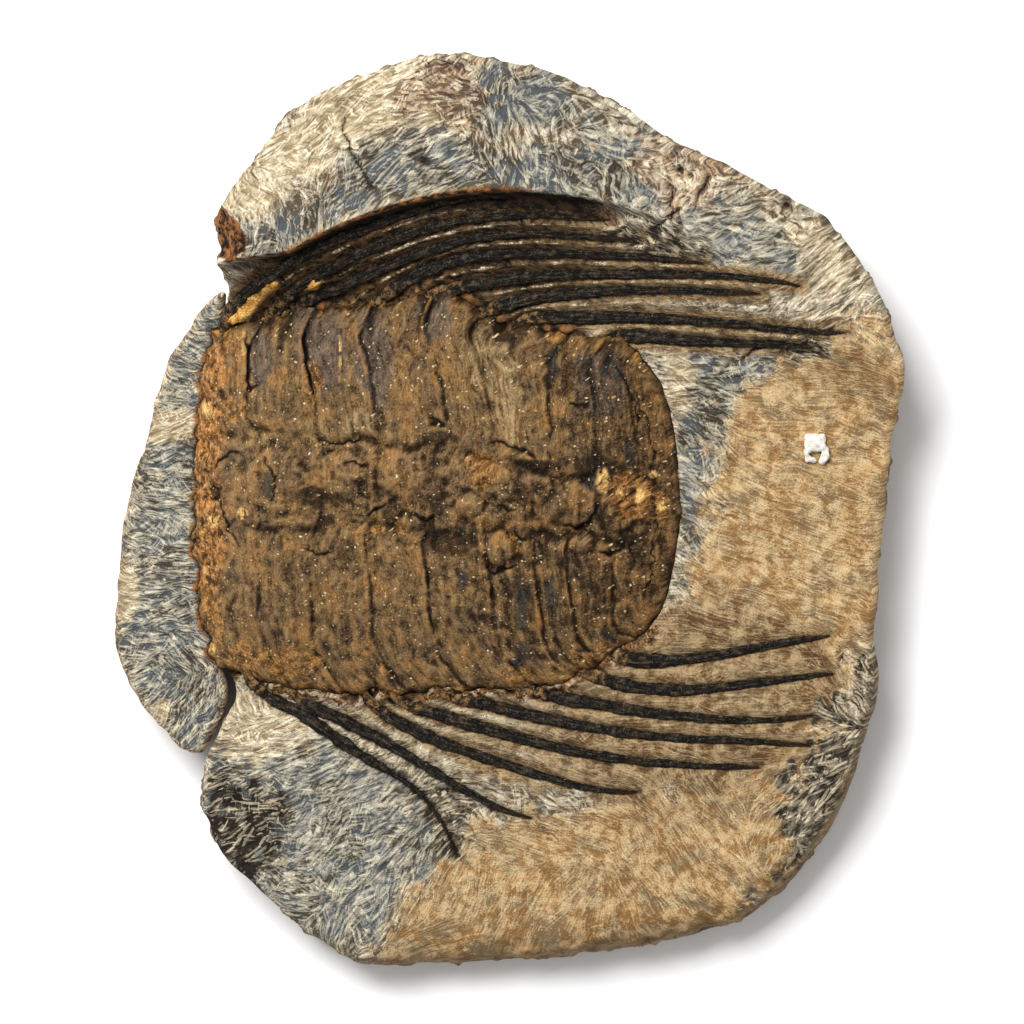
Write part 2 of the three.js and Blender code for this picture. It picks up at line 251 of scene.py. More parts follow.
def outline_of(node, middle, height, count):
    """A node's outline at a height, counter-clockwise, from rays that run in to its middle."""
    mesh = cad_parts[node].data
    corners = [v.co / MM for v in mesh.vertices]
    tree = BVHTree.FromPolygons(corners, [tuple(p.vertices) for p in mesh.polygons])
    centre = Vector((*middle, height))
    points = []
    for turn in np.linspace(0, 2 * np.pi, count, endpoint=False):
        out = Vector((math.cos(turn), math.sin(turn), 0))
        place = tree.ray_cast(centre + out * FAR, -out)[0]
        points.append(place[:2])
    return np.array(points)


def evened(outline, spacing, rounding):
    """The outline with its points spacing apart and its corners rounded off."""
    closed = np.vstack([outline, outline[:1]])
    lengths = np.concatenate([[0], np.cumsum(np.hypot(*np.diff(closed, axis=0).T))])
    places = np.arange(0, lengths[-1], spacing)
    even = np.column_stack([np.interp(places, lengths, closed[:, k]) for k in (0, 1)])
    for _ in range(rounding):
        even = (np.roll(even, 1, axis=0) + 2 * even + np.roll(even, -1, axis=0)) / 4
    return even


def outward(outline):
    """The direction out of a counter-clockwise outline at each of its points."""
    run = np.roll(outline, -2, axis=0) - np.roll(outline, 2, axis=0)
    run = run / np.hypot(*run.T)[:, None]
    return np.column_stack([run[:, 1], -run[:, 0]])


def chipped(outline, chips, seed):
    """The outline with small random bumps and dents: chips is a list of their sizes and depths."""
    x, y = outline.T
    out = sum(depth * noise(x, y, size, seed + k) for k, (size, depth) in enumerate(chips))
    return outline + outward(outline) * out[:, None]


def spine_line(node):
    """A spine's middle line from its root to its tip, fitted through its CAD node's points."""
    points = np.array([v.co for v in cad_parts[node].data.vertices]) / MM
    x = np.linspace(points[:, 0].min(), points[:, 0].max(), 30)
    y = np.polyval(np.polyfit(points[:, 0], points[:, 1], 4), x)
    return np.column_stack([x, y])


slab_outline = evened(outline_of("matrix_slab", (0, 0), 8, 900), 0.6, 6)
slab_outline = chipped(slab_outline, [(9, 0.55), (3.5, 0.2), (1.5, 0.06)], 11)
front_outline = evened(outline_of("matrix_front_piece", (-66, -3), 8, 500), 0.5, 4)
front_outline = chipped(front_outline, [(7, 0.45), (3, 0.25), (1.4, 0.12)], 21)
shield_outline = evened(outline_of("trilobite_body", (-14, 3), 16, 700), 0.5, 6)
at_head = 1 - smooth(-60, -52, shield_outline[:, 0])
at_flank = smooth(24, 30, np.abs(shield_outline[:, 1] - 4))
ragged = chipped(shield_outline, [(6, 1.3), (2.6, 0.9), (1.1, 0.35)], 31)
worn = chipped(shield_outline, [(8, 0.4), (2.5, 0.2)], 41)
torn = chipped(shield_outline, [(7, 1.1), (2.6, 0.7), (1.2, 0.25)], 45)
shield_outline = blend(blend(worn, torn, at_flank[:, None]), ragged, at_head[:, None])

RIGHT = [f"right_spine_{k}" for k in range(1, 9)]
LEFT = [f"left_spine_{k}" for k in range(1, 9)]
SPINES = RIGHT + LEFT


def run_on(line, start, length, slowing, bend, count):
    """A curve of so many points that goes on from start the way the line's root points, losing a
    share of that way as it goes, and bending along Y instead."""
    ahead = line[0] - line[2]
    ahead = ahead / np.hypot(*ahead)
    share = np.linspace(0, 1, count)[:, None]
    return start + length * share * ((1 - slowing * share) * ahead + share * np.array([0, bend]))


def rooted(node):
    """A spine's line, run back from its root until it is inside the shield's margin."""
    line = spine_line(node)
    bend = -0.28 if node in RIGHT else 0.28
    for length in np.arange(1.0, 18.0, 0.5):
        back = run_on(line, line[0], length, 0.4, bend, 9)
        if inside_by(back[-1:, 0], back[-1:, 1], shield_outline)[0] > ROOT_DEPTH:
            break
    return np.vstack([back[:0:-1], line])


spine_lines = {node: rooted(node) for node in SPINES}

# ---------------------------------------------------------------- meshes


def outline_nodes(quads):
    """Which grid nodes are on the border of the kept squares, and which are on any kept square."""
    around = np.zeros((quads.shape[0] + 1, quads.shape[1] + 1), int)
    for di in (0, 1):
        for dj in (0, 1):
            around[di : di + quads.shape[0], dj : dj + quads.shape[1]] += quads
    return (around > 0) & (around < 4), around > 0


def kept_quads(keep):
    """The grid squares with all four nodes kept, without squares that touch only at a corner."""
    quads = keep[:-1, :-1] & keep[1:, :-1] & keep[:-1, 1:] & keep[1:, 1:]
    for _ in range(20):
        falling = quads[:-1, :-1] & quads[1:, 1:] & ~quads[1:, :-1] & ~quads[:-1, 1:]
        rising = quads[1:, :-1] & quads[:-1, 1:] & ~quads[:-1, :-1] & ~quads[1:, 1:]
        if not (falling.any() or rising.any()):
            break
        quads[:-1, :-1] &= ~falling
        quads[1:, :-1] &= ~rising
    return quads


def snapped(x, y, nodes, outlines, reach):
    """The nodes near an outline moved onto it."""
    for i, j in np.argwhere(nodes):
        best = None
        for outline in outlines:
            ends = np.roll(outline, -1, axis=0)
            run = ends - outline
            to = np.array([x[i, j], y[i, j]]) - outline
            share = held((to * run).sum(1) / (run * run).sum(1))
            places = outline + run * share[:, None]
            away = np.hypot(places[:, 0] - x[i, j], places[:, 1] - y[i, j])
            k = away.argmin()
            if best is None or away[k] < best[0]:
                best = (away[k], places[k])
        if best[0] < reach:
            x[i, j], y[i, j] = best[1]


def loops_of(faces):
    """The closed rows of points along a mesh's border, with the mesh on their left."""
    starts = faces.ravel()
    ends = np.roll(faces, -1, axis=1).ravel()
    count = faces.max() + 1
    codes, backward = starts * count + ends, ends * count + starts
    free = ~np.isin(codes, backward)
    following = dict(zip(starts[free].tolist(), ends[free].tolist()))
    loops = []
    while following:
        first = next(iter(following))
        loop = [first]
        while (after := following.pop(loop[-1])) != first:
            loop.append(after)
        loops.append(np.array(loop))
    return loops


class Skin:
    """A closed mesh under construction: a sheet over a grid, and walls from its border."""

    def __init__(self, x, y, z, quads, paint):
        _, used = outline_nodes(quads)
        number = np.full(used.shape, -1)
        number[used] = np.arange(used.sum())
        self.points = np.column_stack([x[used], y[used], z[used]])
        self.paint = {name: np.broadcast_to(v, x.shape)[used] for name, v in paint.items()}
        self.paint["side"] = np.zeros(len(self.points))
        corners = number[:-1, :-1], number[1:, :-1], number[1:, 1:], number[:-1, 1:]
        self.faces = [np.column_stack([c[quads] for c in corners])]
        self.fans = []
        self.loops = sorted(loops_of(self.faces[0]), key=len, reverse=True)

    def wall(self, loop, floor, rows, out):
        """A wall from a border down to a floor, with a lid that fans out from its middle and so
        folds over itself where the border has a deep bay. out gives how far the wall stands out
        from the border, for its points and how far down they are."""
        top = self.points[loop]
        run = np.roll(top, -3, axis=0) - np.roll(top, 3, axis=0)
        for _ in range(8):
            run = (np.roll(run, 1, axis=0) + 2 * run + np.roll(run, -1, axis=0)) / 4
        length = np.maximum(np.hypot(run[:, 0], run[:, 1]), 1e-9)
        normal = np.column_stack([run[:, 1], -run[:, 0]]) / length[:, None]
        above = loop
        for row in range(1, rows + 1):
            down = row / rows
            z = blend(top[:, 2], floor, down)
            stands = out(top[:, 0], top[:, 1], z, down)[:, None]
            ring = np.column_stack([top[:, :2] + normal * stands, z])
            below = len(self.points) + np.arange(len(loop))
            self.points = np.vstack([self.points, ring])
            for name, values in self.paint.items():
                more = np.full(len(loop), min(1, row / 2)) if name == "side" else values[loop]
                self.paint[name] = np.concatenate([values, more])
            self.faces.append(np.column_stack([np.roll(above, -1), above, below, np.roll(below, -1)]))
            above = below
        middle = len(self.points)
        self.points = np.vstack([self.points, self.points[above].mean(axis=0)])
        for name, values in self.paint.items():
            self.paint[name] = np.append(values, values[above].mean())
        self.fans.append(np.column_stack([np.roll(above, -1), above, np.full(len(above), middle)]))

    def build(self, name):
        """The finished object, with its paint."""
        faces = [face for group in self.faces + self.fans for face in group.tolist()]
        return mesh_object(name, self.points, faces, self.paint)


def mesh_object(name, points, faces, paint):
    """A smooth-shaded object from points in mm, with its painted values as attributes."""
    mesh = bpy.data.meshes.new(name)
    mesh.from_pydata((np.asarray(points) * MM).tolist(), [], faces)
    mesh.polygons.foreach_set("use_smooth", np.ones(len(mesh.polygons), bool))
    for key, values in paint.items():
        attribute = mesh.attributes.new(key, "FLOAT", "POINT")
        attribute.data.foreach_set("value", np.asarray(values, np.float32))
    mesh.validate()
    piece = bpy.data.objects.new(name, mesh)
    bpy.context.scene.collection.objects.link(piece)
    return piece


def sheet_over(outline, step, hole=None):
    """A grid over an outline less its hole, with its border moved onto the two: where its nodes
    are, how far inside the outline each one is, and which squares are kept."""
    low, high = outline.min(axis=0), outline.max(axis=0)
    across, up = (np.arange(low[k] - step, high[k] + 2 * step, step) for k in (0, 1))
    x, y = np.meshgrid(across, up, indexing="ij")
    inside = inside_by(x, y, outline)
    keep = inside > KEPT_INSIDE * step
    outlines = [outline]
    if hole is not None:
        keep &= (inside_by(x, y, hole) <= -KEPT_INSIDE * step) | (inside <= POCKET_RIM)
        outlines.append(hole)
    quads = kept_quads(keep)
    border, _ = outline_nodes(quads)
    snapped(x, y, border, outlines, SNAP_REACH * step)
    return x, y, inside_by(x, y, outline), quads


def no_bulge(x, y, z, down):
    """A wall that goes straight down."""
    return 0 * x


def rock_face(out, depth, size, seed, batter):
    """A broken wall: it starts out mm out, with hollows so deep, and leans in by batter."""

    def face(x, y, z, down):
        bulge = out - depth * hollows(x, y, z, size, seed)
        return bulge * min(1, 4 * down) - batter * down**2

    return face


# ---------------------------------------------------------------- the stone's shape

# The direction of the tool marks at places on the stone, in degrees from +X.
COMB = [
    (-67, 34, -10), (-70, 22, 0), (-72, 16, 25), (-72, 6, -5), (-72, -6, 0), (-72, -18, 5),
    (-72, -26, 20), (-66, -30, -30), (-70, -36, 35), (-64, -36, 65), (-62, -42, 60), (-55, 59, -60),
    (-50, 64, -45), (-48, 72, 30), (-42, 78, 50), (-44, 69, -15), (-38, 68, 60), (-36, 74, 20),
    (-48, 56, -70), (-40, 58, -70), (-32, 62, 45), (-26, 70, 30), (-22, 82, 20), (-14, 84, -5),
    (-16, 68, 30), (-10, 66, 25), (-2, 72, -60), (4, 74, -55), (0, 88, 85), (7, 84, -5),
    (14, 78, -25), (22, 74, -30), (12, 66, -50), (22, 66, -65), (32, 64, -55), (30, 72, -20),
    (40, 68, -50), (42, 60, -5), (50, 56, 5), (56, 58, -40), (46, 51, -20), (62, 50, 40),
    (68, 44, 35), (58, 40, 35), (72, 36, -30), (64, 28, -10), (72, 18, -10), (54, 22, -5),
    (36, 28, -10), (38, 12, -40), (36, -4, -30), (50, 6, -20), (66, 2, -18), (50, -10, -22),
    (42, -20, -25), (64, -16, -15), (70, -26, -30), (50, -31, -8), (38, -31, 5), (50, -39, -3),
    (28, -38, -3), (58, -44, -5), (68, -36, -55), (66, -50, 40), (58, -58, 45), (54, -68, 60),
    (38, -62, -60), (26, -66, -60), (46, -74, -50), (18, -62, -15), (2, -64, -20), (10, -78, 60),
    (-6, -78, 65), (-18, -78, 65), (-14, -86, 20), (-32, -74, 45), (-38, -62, 40), (-30, -58, 30),
    (-42, -54, 20), (-48, -46, 10), (-56, -46, 0), (-54, -62, 30), (-44, -76, -10), (-34, -84, 70),
    (-54, -38, -60), (20, 47, -2), (-20, 55, 22), (-40, 48, 32),
]

# Patches of the stone's colours, as outlines.
SLATE = [
    [(-54, -46), (-36, -44), (-22, -52), (-8, -56), (-8, -63), (-15, -70), (-26, -86), (-30, -90),
     (-40, -86), (-52, -76), (-62, -64), (-62, -54)],
    [(29, 34), (52, 33), (56, 28), (48, 26), (43, 20), (41, 6), (37, -12), (33, -20), (35, 2), (32, 20)],
    [(-11, 88), (9, 87), (14, 78), (-7, 75)],
    [(-34, 76), (-20, 78), (-8, 72), (10, 72), (28, 67), (26, 60), (6, 62), (-14, 64), (-34, 58),
     (-52, 46), (-56, 54), (-46, 60), (-36, 62)],
    [(16, 80), (34, 72), (46, 62), (56, 54), (58, 46), (48, 45), (36, 52), (24, 62), (12, 72)],
]
GOLDEN = [
    [(44, 22), (52, 28), (62, 33), (74, 40), (84, 24), (80, -26), (68, -30), (66, -44), (58, -58),
     (54, -82), (26, -92), (-28, -96), (-26, -86), (-10, -66), (-6, -60), (6, -62), (22, -58),
     (40, -54), (50, -40), (30, -28), (36, -12), (41, 6)],
]
FAN = [
    [(22, -26), (40, -14), (62, -24), (66, -34), (60, -46), (44, -56), (22, -58), (-4, -54), (-22, -46),
     (-34, -40), (-30, -35), (0, -34)],
]
CREAM = [
    [(-60, 62), (-50, 72), (-42, 83), (-32, 86), (-14, 92), (-10, 78), (-24, 76), (-34, 72),
     (-44, 62), (-52, 58)],
    [(-58, -34), (-50, -34), (-36, -44), (-44, -48), (-56, -50), (-60, -44)],
    [(30, 33), (38, 31), (36, 20), (32, 14), (31, 22)],
    [(56, 58), (66, 56), (70, 44), (60, 46)],
]
BROWN = [
    [(-18, 92), (-6, 92), (-6, 80), (-12, 76), (-18, 78), (-26, 82)],
    [(22, 76), (36, 74), (48, 68), (40, 60), (30, 60), (26, 66)],
    [(60, 40), (76, 40), (72, 24), (62, 26), (52, 24), (60, 34)],
]
BLACK = [
    [(-62, -56), (-52, -53), (-44, -58), (-46, -70), (-52, -76), (-62, -68)],
    [(70, -24), (80, -24), (78, -44), (74, -62), (62, -76), (48, -86), (46, -80), (54, -71), (56, -66),
     (51, -56), (58, -50), (62, -40), (66, -34)],
    [(-22, -52), (-10, -55), (-6, -66), (-13, -70), (-18, -62)],
    [(54, 35), (63, 35), (63, 31), (56, 31)],
    [(18, 58), (34, 57), (40, 50), (30, 49), (16, 52)],
]
TOP_PATCH = SLATE[2]
DUSKY = [
    [(-54, 50), (-48, 58), (-36, 68), (-22, 74), (6, 75), (24, 71), (32, 62), (14, 61), (-10, 63),
     (-30, 60), (-44, 52)],
    [(-16, 90), (-6, 88), (-4, 78), (-14, 76), (-20, 82)],
    [(31, 30), (46, 28), (40, 14), (34, 8)],
    [(-64, -56), (-52, -53), (-44, -58), (-46, -70), (-52, -78), (-64, -70)],
    TOP_PATCH,
    [(-28, -94), (40, -90), (44, -80), (10, -82), (-24, -84)],
]
CRUMBLY = [[(14, 61), (28, 62), (40, 57), (44, 48), (30, 47), (14, 52)]]
RUST = [
    [(-63, 64), (-57, 61), (-54, 57), (-52.6, 52), (-55, 49.6), (-62, 50)],
]
YELLOW = [
    [(-58, 37.6), (-55.6, 41.4), (-51, 44.8), (-47.2, 46.6), (-46.6, 45), (-50, 42), (-53, 38.6),
     (-55.4, 36.8)],
    [(-42, 44.6), (-39.6, 47), (-37.4, 46.4), (-38.4, 44)],
]

# Open cracks in the stone, as lines.
STONE_CRACKS = [
    [(-34, 81), (-33, 76), (-32, 72), (-28, 65), (-25, 62)],
    [(33, 65), (32, 62), (32, 57)],
    [(40, 68), (38, 64), (36, 60)],
    [(28, 56), (32, 59), (35, 61)],
    [(46, 30), (50, 33), (55, 34)],
]
# Small pits in it: middle and radius.
STONE_PITS = [
    ((-13.2, 77.2), 0.9), ((55.4, 61.2), 1.3), ((33.8, 68.2), 1.1), ((-17.4, 70), 1.6), ((36, 67), 0.8),
]
PALE_LINE = [(62, 48), (68, 42), (76, 37)]


def slab_height(x, y):
    """The stone's height without its fine shape, and how far up the bank under the rim it is."""
    foot = BANK_FOOT_Y - BANK_FOOT_BEND * (x - BANK_FOOT_X) ** 2
    arc = np.sqrt(np.maximum(CREST_RADIUS**2 - x**2, 0)) - CREST_RADIUS
    crest = np.maximum(CREST_TOP + arc, foot + BANK_LEAST)
    rise = blend(RIM_RISE, RIM_RISE_AT_TAIL, smooth(0, 75, x))
    share = (y - foot) / (crest - foot)
    cliff = 0.3 * (1 - smooth(14, 44, x))
    climb = (1 - cliff) * smooth(0, 1, share) + cliff * smooth(0.93, 1.0, share)
    back = RIM_FALL * np.maximum(y - crest, 0)
    front = FIELD_FALL * np.maximum(FIELD_FALL_START - y, 0)
    return FIELD_HEIGHT + rise * climb - back - front, share


def comb_at(x, y):
    """The direction of the tool marks, as the cosine and sine of twice its angle."""
    c, s = np.zeros(x.shape), np.zeros(x.shape)
    for at_x, at_y, degrees in COMB:
        weight = 1 / (4 + (x - at_x) ** 2 + (y - at_y) ** 2) ** 2
        c += weight * math.cos(2 * math.radians(degrees))
        s += weight * math.sin(2 * math.radians(degrees))
    size = np.hypot(c, s)
    return c / size, s / size


def shoulder(inside, radius):
    """How far a rounded edge falls, for points so far inside it."""
    left = held(1 - inside / radius)
    return radius * (1 - np.sqrt(np.maximum(1 - left**2, 0)))


def blurred(z, times):
    """Heights on a grid, evened out with their neighbours a number of times."""
    for _ in range(times):
        z = (z + np.roll(z, 1, 0) + np.roll(z, -1, 0) + np.roll(z, 1, 1) + np.roll(z, -1, 1)) / 5
    return z


def gouge(x, y, z, step, keep, comb, count, deepest, seed):
    """Cuts random straight grooves along the comb into heights on a grid."""
    rng = np.random.default_rng(seed)
    rows, columns = np.nonzero(keep)
    for pick in rng.integers(0, len(rows), count):
        i, j = rows[pick], columns[pick]
        turn = 0.5 * math.atan2(comb[1][i, j], comb[0][i, j]) + rng.normal(0, 0.25)
        half, wide = rng.uniform(1.3, 3.2), rng.uniform(0.45, 0.75)
        depth, (shift_x, shift_y) = rng.uniform(0.3, 1), rng.uniform(-0.5, 0.5, 2) * step
        reach = int(half / step) + 2
        window = slice(max(i - reach, 0), i + reach + 1), slice(max(j - reach, 0), j + reach + 1)
        u, v = x[window] - x[i, j] - shift_x, y[window] - y[i, j] - shift_y
        along = (u * math.cos(turn) + v * math.sin(turn)) / half
        across = (v * math.cos(turn) - u * math.sin(turn)) / wide
        z[window] -= deepest * depth * held(1 - along**2) * np.exp(-(across**2))


def spines_near(x, y):
    """How far the nearest spine is, the nearest on the right side, and how much farther the next
    spine is than the nearest."""
    nearest, second, right = (np.full(x.shape, FAR) for _ in range(3))
    for node, line in spine_lines.items():
        away, along = beside(x, y, line)
        away = away + (SPINE_WIDE - SPINE_NARROW) * along**1.2
        second = np.minimum(second, np.maximum(away, nearest))
        nearest = np.minimum(nearest, away)
        if node in RIGHT:
            right = np.minimum(right, away)
    return nearest, right, second - nearest


def stone_relief(x, y):
    """The stone's uneven surface, from broad swells to small lumps."""
    return 0.55 * rough(x, y, 21, 3, 1) + 0.22 * rough(x, y, 5, 3, 2)


def stone_cuts(x, y):
    """1 in the stone's open cracks and pits, and 0 elsewhere."""
    cuts = np.zeros(x.shape)
    u, v = x + 0.7 * noise(x, y, 3, 5), y + 0.5 * noise(x, y, 2, 4)
    for line in STONE_CRACKS:
        away, along = beside(u, v, curve(line))
        fade = smooth(0, 0.15, along) * (1 - smooth(0.8, 1, along))
        cuts = np.maximum(cuts, bell(away, 0.45) * fade)
    for at, size in STONE_PITS:
        away = np.hypot(x - at[0], y - at[1]) + 0.4 * noise(x, y, 1.5, 6)
        cuts = np.maximum(cuts, bell(away, size))
    return cuts


def pale_between(x, y, near, gap):
    """1 midway between two spines, and 0 at the spines and away from them."""
    middle = bell(gap + 1.2 * noise(x, y, 5, 57), 1.5) * smooth(1.2, 2.0, near)
    return middle * (1 - smooth(3.4, 5.5, near)) * smooth(34, -8, x)


def under_rim(x, share):
    """Parts of the bank under the rim, from how far up it is: its overhang, for the painted shade under
    it, the rusty lip at its top, and the bank itself, for its dirt and painted shade."""
    before_tail = smooth(-56, -44, x) * (1 - smooth(12, 28, x))
    cliff = smooth(0.80, 0.88, share) * (1 - smooth(0.975, 0.995, share)) * before_tail
    lip = bell(share - 1.0, 0.022) * (1 - smooth(-10, 16, x)) * smooth(-60, -54, x)
    bank = smooth(0.02, 0.2, share) * (1 - smooth(0.97, 0.99, share)) * (1 - smooth(-6, 34, x))
    return cliff, lip, bank * smooth(-60, -48, x)


def make_slab():
    """The main stone, with a hole where the shield lies."""
    x, y, inside, quads = sheet_over(slab_outline, SLAB_STEP, shield_outline)
    under = inside_by(x, y, shield_outline)
    z, share = slab_height(x, y)
    z += stone_relief(x, y)
    comb = comb_at(x, y)

    near, near_right, gap = spines_near(x, y)
    upper = smooth(18, 24, y)
    between = pale_between(x, y, near, gap) * (1 - upper)
    wrinkle = rough(x, y, 2.2, 3, 17)
    ridge = bell(gap + 0.5 * wrinkle, 0.65) * smooth(0.5, 1.0, near) * (1 - smooth(3, 6, near))
    ridge = ridge * held(0.75 + 0.7 * noise(x, y, 6, 19))
    z += ridge * blend(0.2, 1.0, upper) + 0.25 * wrinkle * upper * (1 - smooth(4, 7, near))
    z -= 1.3 * bell(near, 1.6)
    cuts = stone_cuts(x, y)
    z -= 1.1 * cuts
    line_away, _ = beside(x, y, curve(PALE_LINE))
    z -= 0.25 * bell(line_away, 0.6)

    slate = zone(x, y, SLATE, 5.0, 3)
    golden = zone(x, y, GOLDEN, 10.0, 4)
    fan = np.maximum(zone(x, y, FAN, 8.0, 10), 0.85 * (1 - smooth(2.0, 4.0, near_right)))
    dusk = zone(x, y, DUSKY, 6.0, 11)
    black = zone(x, y, BLACK, 4.5, 6)
    yellow = zone(x, y, YELLOW, 0.8, 9)
    bare = 1 - yellow
    blotch = smooth(-0.5, -0.05, rough(x, y, 3.2, 3, 9)) * black
    z -= 0.4 * blotch
    z += 0.55 * zone(x, y, CRUMBLY, 4.0, 20) * rough(x, y, 2.6, 3, 26)
    z += yellow * (1.8 + 0.4 * rough(x, y, 2.2, 3, 27))
    beyond = np.maximum(-under, 0)
    crumbs = bell(beyond, 2.4) * smooth(-20, -26, y) * smooth(-60, -54, x)
    crumbs = crumbs * smooth(-0.35, 0.15, rough(x, y, 2.6, 3, 28))
    z += crumbs * (1.3 + 0.5 * rough(x, y, 1.5, 2, 29))
    plain = held(np.maximum(golden, 0.9 * fan) - black)
    top = (inside > 1) & (under < -0.8) & (near > 1.5)
    gouge(x, y, z, SLAB_STEP, top & (plain < 0.5), comb, *CARVED_GOUGES)
    z += 0.3 * plain * smooth(1, 6, near) * rough(x, y, 7, 3, 55)
    gouge(x, y, z, SLAB_STEP, top & (plain >= 0.5), comb, *PLAIN_GOUGES)

    low = smooth(-20, -75, y) * smooth(-45, -10, x)
    low = np.maximum(low, 0.45 * smooth(-15, -40, y) * smooth(50, 62, x))
    # Painted shade and light: the fine relief, apart from the broad shape, darkens hollows and lightens
    # rises in the colour.
    relief_shading = z - blurred(z, 12)
    broken = zone(x, y, RUST, 1.2, 8)
    z -= broken * (1 - smooth(0.3, 4.2, inside)) * (3.6 + 0.8 * rough(x, y, 3, 3, 51))
    z -= 1.6 * low * (1 - smooth(1, 6, inside)) * np.abs(rough(x, y, 5, 3, 53))
    z -= shoulder(inside, blend(1.3, 5.0, low))
    z = np.where((under > -0.1) & (inside <= POCKET_RIM + SLAB_STEP), POCKET_FLOOR, z)

    cliff, lip, bank = under_rim(x, share)
    # Rust and dirt at the shield's foot, and the share of it that darkens the stone is painted shade
    # along the raised margin.
    foot_grime_and_shade = bell(beyond, 2.0) * smooth(22, 30, np.abs(y - 4)) * bare * (1 - 0.5 * upper)
    shelly = bell(beyond, 3.2) * smooth(24, 32, y) * (1 - smooth(10, 20, x)) * bare
    # Painted shade: near-black in the spines' troughs, under the rim's overhang, in the open cracks and
    # pits, and along the shield's foot, less the rusty lip.
    painted_shade = np.maximum(bell(near, 1.6), 0.85 * cliff) + 0.75 * cuts + 0.4 * foot_grime_and_shade - lip
    pale_ridge = blend(blend(0.95, 0.4, smooth(-10, 40, x)), 1, upper)
    paint = {
        "comb_c": comb[0],
        "comb_s": comb[1],
        "slate": slate,
        "golden": golden * (1 - 0.8 * between),
        "fan": fan * (1 - 0.8 * between),
        "cream": np.maximum(zone(x, y, CREAM, 7.0, 5), 0.9 * between),
        "black": np.maximum(blotch, 0.45 * black),
        "dusk": dusk,
        "brown": zone(x, y, BROWN, 7.0, 7),
        "rust": held(broken + lip + 0.7 * foot_grime_and_shade),
        "yellow": yellow,
        "painted_shade": held(painted_shade) * (bare - crumbs),
        "crumbs": crumbs,
        # Dark earth on the bank under the rim and a halo round each spine: partly dirt and stain, partly
        # painted shade.
        "dirt_and_shade": held(0.95 * bank + 0.3 * bell(near, 3.0)) * bare,
        "shelly": shelly,
        "ridge": held(ridge * pale_ridge) * bare,
        "plain": plain,
        "relief_shading": np.clip(relief_shading / 0.3, -1, 1),
        "edge": low * (1 - smooth(0.6, 2.6, inside + 0.8 * noise(x, y, 4, 18))),
    }
    skin = Skin(x, y, z, quads, paint)
    skin.wall(skin.loops[0], 0, WALL_ROWS, rock_face(1.0, 4.2, 11.0, 12, 1.2))
    for loop in skin.loops[1:]:
        skin.wall(loop, POCKET_FLOOR - 0.2, 2, no_bulge)
    return skin.build("carved_stone")


def make_front():
    """The lower stone in front of the head."""
    x, y, inside, quads = sheet_over(front_outline, FRONT_STEP)
    under = inside_by(x, y, shield_outline)
    z = FRONT_HEIGHT - FRONT_FALL * np.maximum(FRONT_FALL_START - x, 0)
    z += 0.4 * rough(x, y, 14, 3, 14) + 0.2 * rough(x, y, 4, 3, 15)
    z += 0.9 * smooth(-1.2, 1.2, 14.5 - y + 0.4 * (x + 70))
    comb = comb_at(x, y)
    near, _, _ = spines_near(x, y)
    gouge(x, y, z, FRONT_STEP, inside > 0.5, comb, *FRONT_GOUGES)
    # Painted shade and light: the fine relief darkens hollows and lightens rises in the colour.
    relief_shading = z - blurred(z, 16)
    z -= shoulder(inside, 2.2)
    z = np.where(under > -0.05, POCKET_FLOOR, z)
    cream = np.maximum(spot(x, y, (-68, 17), (9, 3.5), 10), 0.9 * spot(x, y, (-78, -16), (4, 8)))
    chips = spot(x, y, (-70.5, -40), (3.2, 2.4), 30)
    z -= 0.6 * chips
    unused = "fan", "black", "yellow", "dirt_and_shade", "crumbs", "shelly", "ridge", "plain", "edge"
    paint = {
        **dict.fromkeys(unused, np.zeros(x.shape)),
        "comb_c": comb[0],
        "comb_s": comb[1],
        "slate": 1 - 0.9 * held(cream),
        "golden": 0.25 * (1 - smooth(0.5, 3.5, inside)),
        "cream": held(cream + chips + 0.15),
        "dusk": 0.4 * smooth(1.5, 6, inside),
        "brown": 0.7 * (1 - smooth(0.2, 1.8, inside)),
        "rust": 0.7 * bell(np.maximum(-under, 0), 1.2),
        # Painted shade in the spines' troughs.
        "painted_shade": held(bell(near, 1.5)),
        "relief_shading": np.clip(relief_shading / 0.3, -1, 1),
    }
    skin = Skin(x, y, z, quads, paint)
    skin.wall(skin.loops[0], 0, FRONT_WALL_ROWS, rock_face(0.2, 2.4, 8.0, 16, 1.0))
    return skin.build("front_stone")


# ---------------------------------------------------------------- the animal's shield

# Where the furrows between segments cross each part of the shield, and how far each one has swept
# over at the margin.
UPPER = [-62, -52.6, -39, -26.4, -12.4, -3.2, 8, 17, 25.4, 34]
UPPER_SWEEP = [0, -0.4, -4.6, -6, -8, -6.4, -1, -2, -5, 0]
AXIS = [-62, -50, -38, -27, -15.5, -5, 4, 13, 22, 32]
LOWER = [-62, -51, -40.4, -29, -17.6, -5.2, 4.4, 11, 20, 33]
LOWER_SWEEP = [0, 2, 2, 3, 4, 5, 5, 4, 1, 0]
# How deep each furrow is on either flank and on the axis, how wide a band is, and where in a band
# its fine threads run.
UPPER_WEIGHT = [0, 0.75, 1.3, 0.6, 0.6, 0.4, 0.35, 0.35, 0.4, 0]
LOWER_WEIGHT = [0, 0.25, 0.45, 0.55, 0.6, 0.6, 0.6, 0.55, 0.45, 0]
AXIS_WEIGHT = 0.25
BAND = 10.5
THREADS = [0.28, 0.5, 0.74]

